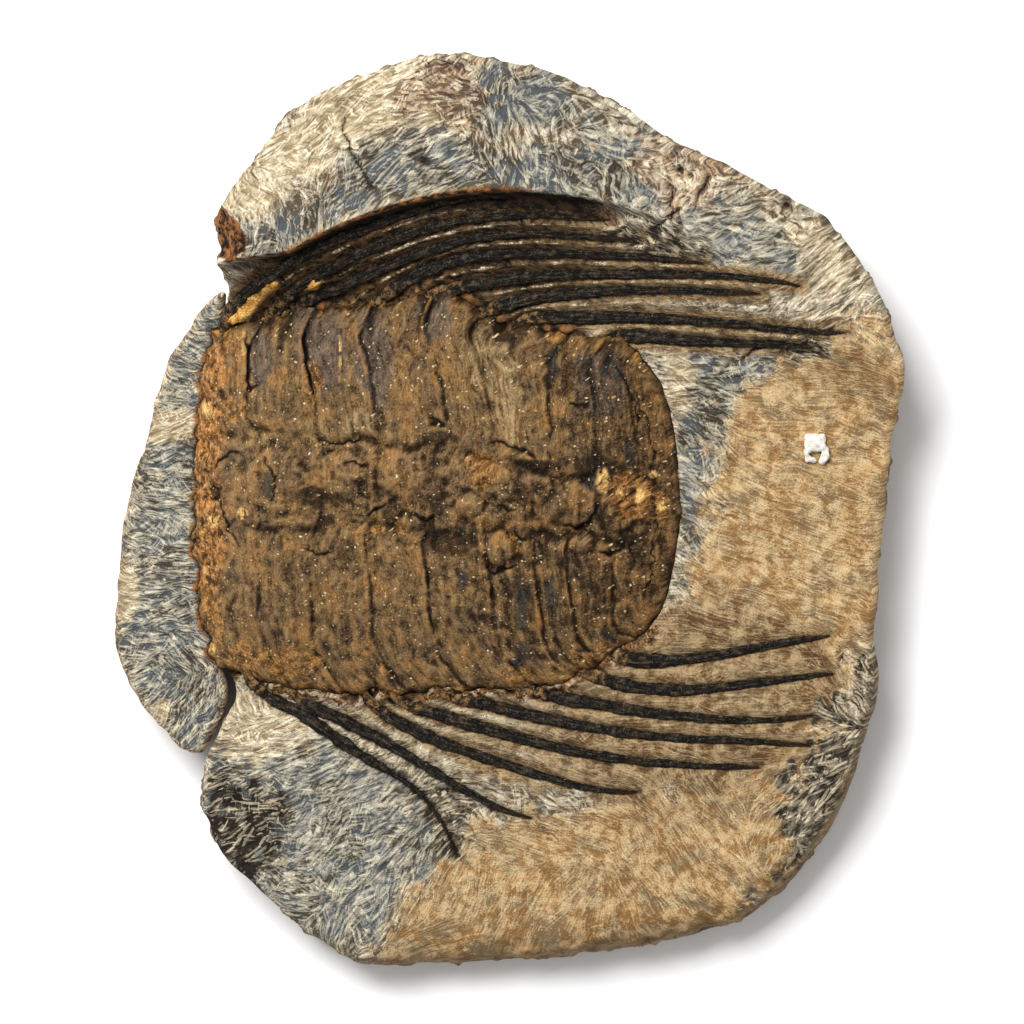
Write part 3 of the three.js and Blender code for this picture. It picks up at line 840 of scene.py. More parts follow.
# Open cracks, as lines with their widths.
SHIELD_CRACKS = [
    ([(-53, 37.6), (-52.8, 31), (-52.6, 25), (-51, 24.4), (-49.2, 26.8)], 0.6),
    ([(-59.6, 8), (-58, 10), (-56, 12), (-53.6, 11.8)], 0.4),
    ([(-59.6, 8), (-59.2, 4), (-57.6, 0), (-56, -4.2), (-53, -8)], 0.5),
    ([(-41, -7.6), (-38, -8.4), (-35.4, -9)], 0.5),
    ([(-28.4, -1.8), (-26.4, 0.6), (-24, 1.9)], 0.45),
    ([(-21.2, -0.4), (-17, -1.6), (-14.4, -0.6)], 0.7),
    ([(-38.6, 14), (-34.4, 13.6), (-28.2, 15)], 0.7),
    ([(-37.6, 11.4), (-35, 11.4)], 0.45),
    ([(-33.6, 9.8), (-28.4, 8.8)], 0.45),
    ([(-17, 18.6), (-12.2, 16.6)], 0.8),
    ([(-4.4, 14.2), (1.4, 12.4), (6, 10.6)], 0.7),
    ([(11.6, 22.2), (15.2, 20.8)], 0.5),
    ([(8.6, -1.8), (13.4, -3.2), (16.8, -0.4), (17.6, 3.4)], 0.7),
    ([(16.4, -8), (21, -8), (24, -5.2)], 0.7),
    ([(24, -5.4), (24.8, -11)], 0.5),
    ([(-3.4, 1), (1, 0.4)], 0.5),
    ([(-5.9, -11.4), (-2.4, -12.4), (1.7, -10.2)], 0.6),
    ([(0.4, -3.5), (3, -6)], 0.6),
    ([(-50, 12), (-47, 6), (-48, 1)], 0.35),
    ([(24, 26), (27, 18), (28.4, 10), (28.8, -4), (27.6, -14), (24, -22)], 0.22),
    ([(20, 31), (24.6, 22), (26, 14)], 0.3),
]
# Round knobs along the back: middle, radius and height.
KNOBS = [
    ((-2.6, -7.4), 3.6, 2.5), ((-8.4, 1.2), 2.6, 0.9), ((12, 1.4), 5.0, 1.1), ((21.4, -1), 3.2, 0.7),
    ((-47, 6), 6.5, 1.2), ((-34, 7), 5.0, 0.7), ((-22, 8), 5.0, 0.8), ((-20, -3.5), 3.0, 0.6),
    ((5, 5), 3.4, 0.7), ((-31, -4), 3.0, 0.6), ((4, -8), 2.4, 0.7), ((14, -6), 2.6, 0.7),
]
# Patches of other colours, as outlines.
PALE_PLATES = [
    [(-9, 34), (-5, 38), (-0.6, 34), (1.8, 24), (1.6, 13), (-1.6, 13.4), (-5, 22), (-9, 29)],
    [(-33.6, 15.4), (-33, 18.4), (-29.6, 20.4), (-26.6, 18.8), (-27, 16), (-30.6, 14.6)],
    [(-38.6, 18), (-36.4, 18.4), (-35.6, 16), (-37.6, 14.8)],
]
DIM_PARTS = [
    [(-6, -2), (2, 8), (16, 12), (31, 12), (33, -8), (28, -24), (14, -28), (0, -28), (-8, -16)],
    [(8, 36), (24, 32), (30, 22), (28, 10), (14, 14), (4, 26)],
    [(-30, 4), (-16, 6), (-14, -4), (-28, -4)],
]
GREY_BANDS = [
    [(-52.6, 35.4), (-48, 35.4), (-46.6, 28), (-51, 25)],
    [(-43, 42), (-35, 41), (-33, 34), (-33, 24), (-38, 23), (-42.4, 31)],
    [(-32, 42), (-26, 40), (-24, 31), (-24.6, 22), (-29, 22), (-32, 31)],
    [(-19.4, 44), (-12, 44), (-11, 36), (-17, 33)],
    [(12, 30), (20, 33), (24, 26), (21, 18), (13, 20)],
]
# Spots of other colours: middle and half size.
RUST_SPOTS = [
    ((-61, 20), (3.4, 6)), ((-61.6, 12), (2.8, 5)), ((-61, 3), (2.6, 3)), ((-59.6, -5), (3, 4)),
    ((-56, 34), (2.6, 3.4)), ((-61, -12), (2.4, 5)), ((-59, -22), (2, 6)), ((-55.6, 20), (3, 4)),
    ((-53, -30), (6, 5)), ((23.6, 3.6), (4.6, 5.2)), ((29, 1), (3, 4)), ((-26.6, -3.6), (2, 1)),
    ((-35.6, -16.8), (1.2, 1.1)), ((-10, -36.4), (3, 1.4)), ((2.2, -33), (2.8, 2.6)),
    ((16, -30), (4, 2.4)), ((-53.4, 0), (1.2, 1.4)), ((8.6, 34.8), (2.2, 1.6)), ((-40, -36), (7, 2.4)),
    ((-22, -3), (2, 1.6)), ((-48.8, 40), (4, 2)), ((-6, 8), (4, 5)), ((-39.6, 26), (2.4, 5)),
    ((22, 36), (5, 2)), ((-44, -30), (8, 4)), ((0.6, -6.6), (1.2, 3)),
]
BLUE_SPOTS = [
    ((8.4, 29), (1.2, 3.2)), ((-9.8, -13.8), (1.2, 3)), ((2, -19), (1.9, 5.4)), ((8, -17), (1.8, 4)),
    ((1.8, -29), (2, 4)), ((18.4, -25), (3, 1.8)), ((13.8, -28), (2.4, 1)), ((-48.4, 5.6), (1.2, 3.4)),
    ((20, 29), (2.6, 3.4)), ((23.6, 12), (1.2, 3.6)), ((6.8, 37.6), (1.8, 1.8)), ((16, 5.6), (2.6, 2)),
]
GOLD_SPOTS = [
    ((18.3, 5.8), (1.5, 3.0)), ((25.7, 3.1), (1.3, 1.8)), ((30, 1), (1.2, 1.0)),
    ((28.4, 7.4), (1.1, 0.8)), ((21.7, 3.6), (0.8, 1.6)), ((-60.6, 20.4), (1.4, 2.6)),
    ((-53.6, -0.6), (1.2, 1.4)),
    ((-60, -27.8), (1.0, 1.5)), ((-59.6, -2), (1.2, 1.4)), ((-10.9, -36), (2.2, 0.9)),
    ((24.4, -26.4), (0.9, 0.9)), ((10.8, -33.2), (1.6, 0.6)), ((18.3, -29.4), (0.8, 0.9)),
    ((-50, 40.6), (2.2, 1.2)), ((-53.4, 34), (0.5, 3.6)), ((-34.2, 30.6), (0.35, 4.6)),
]
BLACK_SPOTS = [
    ((-60.8, 1.6), (3, 1.6)), ((-39, 3), (5, 2.4)), ((-12, -6), (7, 3.4)), ((24, 0.6), (2.2, 1.8)),
    ((27.6, 6), (1.2, 2)), ((20.4, 8), (3, 2.6)), ((-14, 14.6), (4, 1.8)), ((4, 8.6), (6, 2)),
    ((16, 9), (5, 3)), ((14, 36), (2.6, 1.4)), ((-2, 35.6), (2, 2.4)), ((22, -6), (4, 2)),
]


def margins(x):
    """Where the shield's right and left margins lie at x."""
    right = shield_outline[shield_outline[:, 1] > 4]
    left = shield_outline[shield_outline[:, 1] <= 2]
    found = []
    for side in (right, left):
        order = np.argsort(side[:, 0])
        found.append(np.interp(x, side[order, 0], side[order, 1]))
    return found


def root_marks(x, y, nodes):
    """Where the spines run on into the shield: 1 on each run and 0 beside it."""
    marks = np.zeros(x.shape)
    for node in nodes:
        line = spine_lines[node]
        length, bend = (9, -0.8) if node in RIGHT else (7, 0.8)
        path = run_on(line, line[3], length, 0.5, bend, 8)
        away, along = beside(x + 0.4 * noise(x, y, 2, 44), y + 0.4 * noise(x, y, 2, 45), path)
        marks = np.maximum(marks, bell(away, blend(1.5, 0.5, along)) * (1 - smooth(0.3, 1, along)))
    return marks


def shield_cracks(x, y):
    """1 in the shield's open cracks, and 0 elsewhere."""
    cracks = np.zeros(x.shape)
    u, v = x + 0.8 * rough(x, y, 2.4, 2, 34), y + 0.8 * rough(x, y, 2.4, 2, 35)
    for line, wide in SHIELD_CRACKS:
        away, far = beside(u, v, curve(line))
        fade = smooth(0, 0.2, far) * (1 - smooth(0.8, 1.0, far))
        cracks = np.maximum(cracks, bell(away, 0.7 * wide) * fade)
    return cracks


def fine_threads(x, y, band):
    """1 on the fine threads that run along the segments, and 0 beside them."""
    threads = np.zeros(x.shape)
    for k, place in enumerate(THREADS):
        offset = (band - place - 0.10 * noise(x, y, 9, 25 + k)) * BAND
        broken = smooth(-0.1, 0.3, noise(x, y, 8, 28 + k))
        threads = np.maximum(threads, bell(offset, 0.17) * broken)
    return threads


def spots(x, y, places, seed):
    """1 in any of a number of ovals and 0 outside them."""
    return np.max([spot(x, y, at, half, 0, seed) for at, half in places], axis=0)


def shield_arch(along, across):
    """The shield's height without its parts, and how fully it is arched at that place along it."""
    ends = blend(EDGE_HEAD, EDGE_TAIL, along)
    side = blend(EDGE_LEFT, EDGE_RIGHT, (across + 1) / 2)
    length = smooth(-0.03, 0.17, along) * (1 - smooth(0.76, 1.04, along))
    arch = 1 - np.abs(across) ** 2.3
    return blend(blend(ends, side, length), SHIELD_CROWN, arch * length), length


def segment_at(x, wavy_x, up, down, upper, lower):
    """Which segment each place is in, counted from the head, and how much of it is passed. wavy_x is
    x with a wander, and up and down are how far out on each flank the place is."""
    numbers = np.arange(len(AXIS))

    def counted(crossings, sweep, far):
        swept = far**1.6 * np.interp(x, crossings, sweep)
        return np.interp(wavy_x - swept - 8 * smooth(0.72, 1.2, far), crossings, numbers)

    flat = counted(AXIS, [0] * len(AXIS), 0 * x)
    count = blend(flat, counted(UPPER, UPPER_SWEEP, up), upper)
    return blend(count, counted(LOWER, LOWER_SWEEP, down), lower)


def raise_knobs(x, y, z):
    """Raises round knobs on the heights, each with a shallow furrow round it."""
    for at, radius, height in KNOBS:
        away = np.hypot(x - at[0], y - at[1]) / radius + 0.16 * rough(x, y, 3, 2, 32)
        z += height * held(1 - away**2) ** 0.8
        z -= 0.2 * bell(away - 1.1, 0.15)


def make_shield():
    """The shield: its arch, axis, segments, threads, knobs and cracks, and its crumbling head."""
    x, y, inside, quads = sheet_over(shield_outline, SHIELD_STEP)
    right, left = margins(x)
    low, high = shield_outline[:, 0].min(), shield_outline[:, 0].max()
    along = (x - low) / (high - low)
    across = np.clip((2 * y - right - left) / (right - left), -1, 1)
    z, length = shield_arch(along, across)

    axis_middle = blend(6.5, 0.5, smooth(-50, 30, x))
    axis_half = blend(9.0, 6.2, smooth(-50, 30, x))
    lobe = (y - axis_middle + 1.8 * rough(x, y, 8, 2, 21)) / axis_half
    z += 1.8 * held(1 - lobe**2) * length
    patchy = smooth(-0.4, 0.5, noise(x, y, 8, 22))
    z -= 0.6 * bell(np.abs(lobe) - 1.05, 0.13) * patchy * length

    upper = smooth(0.8, 1.4, lobe)
    lower = smooth(-0.8, -1.4, lobe)
    flank = np.maximum(upper, lower)
    up = held((y - axis_middle - axis_half) / (right - axis_middle - axis_half))
    down = held((axis_middle - axis_half - y) / (axis_middle - axis_half - left))
    wavy_x = x + 0.55 * rough(x, y, 9, 3, 23)
    count = segment_at(x, wavy_x, up, down, upper, lower)
    nearest = np.rint(count)
    to_furrow = (count - nearest) * BAND
    number = nearest.astype(int)
    weight = np.array(UPPER_WEIGHT)[number] * upper * smooth(0.1, 0.38, up)
    weight += np.array(LOWER_WEIGHT)[number] * lower + AXIS_WEIGHT * (1 - flank)
    weight = weight * np.clip(0.7 + 1.1 * rough(x, y, 5, 3, 24), 0, 1.5)
    furrow = bell(to_furrow + 0.2 * noise(x, y, 1.6, 46), 0.32) * weight
    band = count - np.floor(count)
    z += 0.9 * np.sin(np.pi * band) ** 0.7 * blend(0.3 + 0.4 * lower, 1, upper) * length
    z += 1.1 * (band - 0.5) * np.clip(weight, 0.15, 1) * length
    z -= 0.8 * furrow

    threads = fine_threads(x, y, band) * blend(0.5, 1, upper) * flank
    z -= 0.25 * threads
    comb_x = BAND * count + 0.8 * noise(x, y, 5, 47)
    fibres = noise(comb_x, 0.2 * y, 0.8, 29)
    lines = noise(1.6 * comb_x, 0.5 * y, 1.1, 28)
    ribs = noise(comb_x, 0.12 * y, 2.2, 49)
    z += flank * (0.12 * fibres + 0.12 * lines) + 0.40 * lower * ribs
    z += blend(0.7, 0.30, flank) * rough(x, y, 5.0, 3, 30)
    z += blend(0.30, 0.15, flank) * rough(x, y, 1.9, 3, 31)

    raise_knobs(x, y, z)
    pale = zone(x, y, PALE_PLATES, 2.0, 33)
    z += 0.3 * pale
    cracks = shield_cracks(x, y)
    z -= 0.6 * cracks

    roots, low_roots = root_marks(x, y, RIGHT), root_marks(x, y, LEFT)
    z += 0.5 * (low_roots - roots)
    head = 1 - smooth(-60.5, blend(-57, -54, smooth(-22, -4, y)), x + 1.5 * noise(x, y, 7, 39))
    head = head * blend(0.45, 1, smooth(-26, -6, y))
    crumble = held(head + 0.8 * spot(x, y, (23.6, 3.6), (6, 6)))
    z += crumble * (0.8 * rough(x, y, 3.6, 4, 40) - 0.7 * np.abs(noise(x, y, 2.6, 54)))
    # Painted shade and light: the fine relief darkens hollows and lightens rises in the shell's colour.
    relief_shading = z - blurred(z, 24)
    z -= shoulder(inside, blend(1.3, 2.4, smooth(0, 0.9, np.abs(across)))) * 0.75
    z = np.maximum(z, SHIELD_FLOOR + 0.6)

    torn_edge = bell(inside, 1.6) * upper * smooth(-0.3, 0.3, noise(x, y, 5, 50))
    margin = bell(inside, 2.2) * smooth(0.55, 0.8, np.abs(across))
    rust = spots(x, y, RUST_SPOTS, 36) + 0.6 * crumble * smooth(-0.1, 0.4, rough(x, y, 3, 3, 42))
    rust = rust + 0.8 * margin * smooth(0.0, 0.4, rough(x, y, 3, 3, 43)) + 0.8 * low_roots
    paint = {
        # Painted shade: the furrows between segments and the open cracks are darkened in the colour.
        "furrow": np.clip(furrow + cracks, 0, 1.4),
        "threads": threads,
        "lip": bell(to_furrow + 0.8, 0.2) * held(1.4 * weight),
        "rust": held(rust),
        "pale": pale,
        "grey": zone(x, y, GREY_BANDS, 2.4, 41),
        "dim": zone(x, y, DIM_PARTS, 8.0, 45),
        "blue": spots(x, y, BLUE_SPOTS, 37),
        "black": held(spots(x, y, BLACK_SPOTS, 38) + roots + torn_edge),
        "crumble": crumble,
        "gold": spots(x, y, GOLD_SPOTS, 56),
        "tail": smooth(12, 30, x),
        "light": held(0.5 + 0.5 * lines * flank + 0.35 * rough(x, y, 2.4, 3, 48)),
        "comb_x": comb_x,
        "relief_shading": np.clip(relief_shading / 0.45, -1, 1),
    }
    skin = Skin(x, y, z, quads, paint)
    skin.wall(skin.loops[0], SHIELD_FLOOR, 4, no_bulge)
    return skin.build("worn_shield")


# ---------------------------------------------------------------- spines and the white fleck


def make_spine(node):
    """A tapered strip of shell with a flattened round section, sunk in its trough."""
    line = spine_lines[node]
    lengths = np.concatenate([[0], np.cumsum(np.hypot(*np.diff(line, axis=0).T))])
    places = np.arange(0, lengths[-1], SPINE_STEP)
    along = places / lengths[-1]
    none = np.zeros(len(places))
    seed = 70 + 3 * SPINES.index(node)
    x = np.interp(places, lengths, line[:, 0])
    y = np.interp(places, lengths, line[:, 1]) + 0.16 * noise(places, none, 6, seed)
    z = slab_height(x, y)[0] + stone_relief(x, y) - SPINE_SUNK
    run = np.column_stack([np.gradient(x), np.gradient(y), np.gradient(z)])
    run /= np.linalg.norm(run, axis=1)[:, None]
    side = np.cross(run, (0, 0, 1))
    side /= np.linalg.norm(side, axis=1)[:, None]
    rise = np.cross(side, run)
    wide = blend(SPINE_WIDE, SPINE_NARROW, along**1.2) * (1 + 0.20 * rough(places, none, 4, 4, seed))
    wide *= np.sqrt(np.clip((1 - along) / 0.06, 0.01, 1)) * np.sqrt(np.clip(along / 0.03, 0.05, 1))
    if node in LEFT[:5]:
        wide *= blend(0.5, 1, smooth(0, 0.25, along))
    if node == LEFT[0]:
        wide *= blend(1, 0.5, smooth(0.5, 0.7, along))

    turns = np.linspace(0, 2 * np.pi, SPINE_SIDES, endpoint=False)
    place, turn = np.meshgrid(places, turns, indexing="ij")
    around = 2.4 * np.abs(turn - np.pi)
    grain = 1 + 0.12 * rough(0.35 * place, around, 0.9, 3, seed)
    grain += 0.15 * rough(place, around, 1.3, 3, seed + 1)
    out = wide[:, None] * grain * np.cos(turn)
    up = wide[:, None] * grain * np.sin(turn) * SPINE_FLATNESS
    middle = np.column_stack([x, y, z])[:, None, :]
    points = middle + out[..., None] * side[:, None, :] + up[..., None] * rise[:, None, :]
    ring = np.arange(SPINE_SIDES)
    faces = []
    for k in range(len(places) - 1):
        a, b = k * SPINE_SIDES + ring, k * SPINE_SIDES + np.roll(ring, -1)
        faces += np.column_stack([a, b, b + SPINE_SIDES, a + SPINE_SIDES]).tolist()
    faces += [ring[::-1].tolist(), (ring + (len(places) - 1) * SPINE_SIDES).tolist()]
    name = node.replace("spine", "long_spine")
    far = place / lengths[-1]
    paint = {
        "root": (1 - smooth(0.04, 0.20, far)) * (0.9 if node in LEFT else 0.5),
        "tip": smooth(0.86, 1, far),
        "run": place + 9 * seed,
        "around": around,
    }
    paint = {key: values.ravel() for key, values in paint.items()}
    return mesh_object(name, points.reshape(-1, 3), faces, paint)


# The fleck's lumps as shares of its box: middle, half size and turn in degrees.
LUMPS = [
    ((-0.08, 0.19, 0), (0.40, 0.31, 0.45), 4), ((-0.32, 0.36, -0.05), (0.17, 0.15, 0.36), 30),
    ((0.20, 0.36, -0.05), (0.17, 0.15, 0.36), -20), ((-0.33, 0.02, -0.04), (0.16, 0.17, 0.36), 0),
    ((0.18, 0.06, -0.04), (0.18, 0.16, 0.36), 0), ((-0.41, -0.15, -0.1), (0.10, 0.20, 0.30), 8),
    ((-0.34, -0.32, -0.14), (0.13, 0.12, 0.26), 0), ((-0.16, -0.38, -0.16), (0.17, 0.09, 0.24), -8),
    ((0.32, -0.24, -0.08), (0.18, 0.20, 0.36), -16), ((0.24, -0.38, -0.12), (0.18, 0.12, 0.30), 20),
    ((0.38, -0.06, -0.1), (0.10, 0.13, 0.28), 10),
]
LUMP_VOXEL, LUMP_ROUNDING = 0.13, 12
LUMP_BUMP, LUMP_BUMP_SIZE = 0.2, 1.1


def make_fleck():
    """The white fleck: lumps joined into one rough body with a hole through it."""
    low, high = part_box("white_chip")
    size = (high - low) / MM
    middle = (high + low) / 2 / MM
    joined = bmesh.new()
    for at, half, turn in LUMPS:
        made = bmesh.ops.create_icosphere(joined, subdivisions=3, radius=1)["verts"]
        c, s = math.cos(math.radians(turn)), math.sin(math.radians(turn))
        for v in made:
            u, w, h = (half[k] * v.co[k] for k in range(3))
            place = (at[0] + c * u - s * w, at[1] + s * u + c * w, at[2] + h)
            v.co = Vector([middle[k] + size[k] * place[k] for k in range(3)]) * MM
    mesh = bpy.data.meshes.new("white_fleck")
    joined.to_mesh(mesh)
    joined.free()
    piece = bpy.data.objects.new("white_fleck", mesh)
    bpy.context.scene.collection.objects.link(piece)
    remesh = piece.modifiers.new("join", "REMESH")
    remesh.mode = "VOXEL"
    remesh.voxel_size = LUMP_VOXEL * MM
    rounding = piece.modifiers.new("rounding", "SMOOTH")
    rounding.iterations = LUMP_ROUNDING
    shown = piece.evaluated_get(bpy.context.evaluated_depsgraph_get())
    piece.data = bpy.data.meshes.new_from_object(shown)
    piece.modifiers.clear()
    points = np.array([v.co for v in piece.data.vertices]) / MM
    normals = np.array([v.normal for v in piece.data.vertices])
    x, y, z = points.T
    bumps = LUMP_BUMP * rough(x + z, y - z, LUMP_BUMP_SIZE, 3, 90)
    points += normals * bumps[:, None]
    piece.data.vertices.foreach_set("co", (points * MM).ravel())
    piece.data.polygons.foreach_set("use_smooth", np.ones(len(piece.data.polygons), bool))
    return piece


# ---------------------------------------------------------------- materials


def srgb(colour):
    """A colour as it is seen, 0 to 255, as Blender's linear colour."""
    bent = (((c / 255 + 0.055) / 1.055) ** 2.4 if c > 10 else c / 3295 for c in colour)
    return (*bent, 1)


# How much thinner than wide the layers in the stone's broken sides are.
LAYERING = 2.4


class Graph:
    """Short ways to add nodes to a material, and its colour so far."""

    def __init__(self, name):
        self.material = bpy.data.materials.new(name)
        self.material.use_nodes = True
        self.tree = self.material.node_tree
        self.shader = self.tree.nodes["Principled BSDF"]
        self.colour = None

    def node(self, kind, inputs, output=0, **settings):
        made = self.tree.nodes.new("ShaderNode" + kind)
        for key, value in settings.items():
            setattr(made, key, value)
        for key, value in inputs.items():
            self.put(made.inputs[key], value)
        return made.outputs[output]

    def put(self, socket, value):
        if isinstance(value, bpy.types.NodeSocket):
            self.tree.links.new(value, socket)
        else:
            socket.default_value = value

    def math(self, operation, *values, clamp=False):
        inputs = dict(enumerate(values))
        return self.node("Math", inputs, operation=operation, use_clamp=clamp)

    def less(self, a, b, clamp=False):
        return self.math("SUBTRACT", a, b, clamp=clamp)

    def times(self, a, b, clamp=False):
        return self.math("MULTIPLY", a, b, clamp=clamp)

    def line(self, value, slope, start):
        return self.math("MULTIPLY_ADD", value, slope, start)

    def add(self, *values):
        """The sum of the values, where a pair is a value and its weight."""
        terms = [self.times(*value) if isinstance(value, tuple) else value for value in values]
        total = terms[0]
        for term in terms[1:]:
            total = self.math("ADD", total, term)
        return total

    def swing(self, value, size):
        """Noise as half of size less to half of size more."""
        return self.times(self.less(value, 0.5), size)

    def range(self, value, low, high, to_low=0.0, to_high=1.0):
        inputs = {"Value": value, 1: low, 2: high, 3: to_low, 4: to_high}
        return self.node("MapRange", inputs, interpolation_type="SMOOTHSTEP")

    def vein(self, value, middle, width, most=1.0):
        """Thin lines, where noise passes one value."""
        return self.range(self.math("ABSOLUTE", self.less(value, middle)), 0.0, width, most, 0.0)

    def vector(self, operation, a, b):
        return self.node("VectorMath", {0: a, 1: b}, operation=operation)

    def flat(self, x, y, z=0.0):
        return self.node("CombineXYZ", {"X": x, "Y": y, "Z": z})

    def split(self, vector):
        return self.node("SeparateXYZ", {"Vector": vector}).node.outputs

    def mix(self, share, a, b):
        inputs = {0: share, 6: a, 7: b}
        return self.node("Mix", inputs, 2, data_type="RGBA", clamp_factor=True)

    def shade(self, share, dark, light):
        return self.mix(share, srgb(dark), srgb(light))

    def ramp(self, value, low, high, dark, light):
        return self.shade(self.range(value, low, high), dark, light)

    def lay(self, share, colour):
        """Covers a share of the colour so far with another colour."""
        if isinstance(colour, tuple):
            colour = srgb(colour)
        self.colour = self.mix(share, self.colour, colour)

    def painted(self, name):
        return self.node("Attribute", {}, "Fac", attribute_name=name)

    def patch(self, name, wander, low, high, to_low=0.0, to_high=1.0):
        """A painted patch with a wandering border."""
        return self.range(self.add(self.painted(name), wander), low, high, to_low, to_high)

    def place(self):
        """Where the surface is across the stone in mm, sheared so that steep faces aren't streaked."""
        x, y, z = self.split(self.node("TexCoord", {}, "Object"))
        sheared = self.flat(self.add(x, (z, 0.7)), self.add(y, (z, 0.5)))
        return self.vector("MULTIPLY", sheared, (1 / MM, 1 / MM, 0))

    def noise(self, place, size, detail, roughness=0.55, output="Fac"):
        scaled = self.vector("MULTIPLY", place, (1 / size, 1 / size, 0))
        inputs = {"Vector": scaled, "Scale": 1.0, "Detail": detail, "Roughness": roughness}
        return self.node("TexNoise", inputs, output, noise_dimensions="2D")

    def bedding(self, size, detail, roughness):
        """Noise through the whole piece in flat layers, for its broken sides."""
        scale = 1 / (size * MM)
        spread = (scale, scale, LAYERING * scale)
        scaled = self.vector("MULTIPLY", self.node("TexCoord", {}, "Object"), spread)
        inputs = {"Vector": scaled, "Scale": 1.0, "Detail": detail, "Roughness": roughness}
        return self.node("TexNoise", inputs, "Fac")

    def cells(self, place, scale, output):
        """The nearest of random points, and three random numbers that go with it."""
        inputs = {"Vector": place, "Scale": scale, "Randomness": 1.0}
        found = self.node("TexVoronoi", inputs, output, voronoi_dimensions="2D", feature="F1")
        colour = {"Color": found.node.outputs["Color"]}
        return found, self.node("SeparateColor", colour).node.outputs

    def turned(self, vector, angle):
        inputs = {"Vector": vector, "Angle": angle}
        return self.node("VectorRotate", inputs, rotation_type="Z_AXIS")

    def finish(self, roughness, specular, height=None, bump=0.0, strength=1.0):
        """The material, with its colour so far, and with bumps as many mm high."""
        if height is not None:
            inputs = {"Height": height, "Distance": bump * MM, "Strength": strength}
            self.put(self.shader.inputs["Normal"], self.node("Bump", inputs))
        self.put(self.shader.inputs["Base Color"], self.colour)
        self.put(self.shader.inputs["Roughness"], roughness)
        self.put(self.shader.inputs["Specular IOR Level"], specular)
        return self.material


# The tool marks on carved stone and what is added on plain stone, where they are long and thin: the
# steps of their directions in degrees, and the lengths and widths of their cells in mm.
MARK_STEP, PLAIN_STEP = 24, -4
MARK_LONG, PLAIN_LONG = 5.6, 2.4
MARK_WIDE, PLAIN_WIDE = 0.96, -0.32


def tool_marks(g, place, comb, fine, share, shift, size):
    """Strokes along the comb, whose direction is rounded to whole steps so that they lie in patches:
    1 in the middle of each straight pale mark and 0 between marks, and fine streaks. A share of the
    long cells holds one mark each. fine is 1 on plain stone and 0 elsewhere. shift sets one layer of
    marks apart from another."""
    step = g.line(fine, math.radians(PLAIN_STEP), math.radians(MARK_STEP))
    turn = g.times(g.math("ROUND", g.math("DIVIDE", g.add(comb, shift), step)), step)
    flat = g.turned(place, g.less(shift, turn))
    long = g.line(fine, PLAIN_LONG * size, MARK_LONG * size)
    wide = g.line(fine, PLAIN_WIDE * size, MARK_WIDE * size)
    lengths = g.flat(long, wide, 1.0)
    grid = g.vector("ADD", g.vector("DIVIDE", flat, lengths), (17.3 * shift, 5.1 * shift, 0))
    middle, (red, green, blue) = g.cells(grid, 1.0, "Position")
    offset = g.vector("MULTIPLY", g.vector("SUBTRACT", grid, middle), lengths)
    along, across, _ = g.split(g.turned(offset, g.swing(red, 0.4)))
    half = g.times(g.line(green, 0.30, 0.32), long)
    body = g.less(1.0, g.math("POWER", g.math("DIVIDE", along, half), 4.0), clamp=True)
    thick = g.times(body, g.times(g.line(blue, 0.16, 0.20), wide))
    mark = g.range(g.less(thick, g.math("ABSOLUTE", across)), -0.07, 0.10)
    kept = g.math("LESS_THAN", g.math("FRACT", g.times(g.add(red, blue), 7.7)), share)
    streaks = {"Vector": g.vector("MULTIPLY", grid, (1.2, 1.7, 1)), "Detail": 1.0, "Roughness": 0.6}
    streaks = g.node("TexNoise", {**streaks, "Scale": 1.0}, "Fac", noise_dimensions="2D")
    return g.times(mark, g.times(kept, g.line(green, 0.55, 0.45))), streaks


# The stone's kinds: two dark colours that take turns, and two pale colours of its marks.
STONE_COLOURS = [
    ("slate", (76, 80, 82), (62, 54, 44), (194, 188, 170), (214, 206, 182)),
    ("cream", (148, 130, 100), (132, 112, 82), (234, 216, 178), (250, 238, 208)),
    ("brown", (98, 78, 60), (66, 52, 44), (218, 184, 144), (244, 226, 194)),
    ("golden", (132, 98, 58), (122, 102, 74), (226, 186, 132), (246, 214, 162)),
    ("fan", (84, 60, 34), (96, 80, 56), (194, 158, 112), (218, 188, 142)),
    ("black", (42, 35, 30), (34, 28, 23), (190, 174, 144), (226, 210, 178)),
]


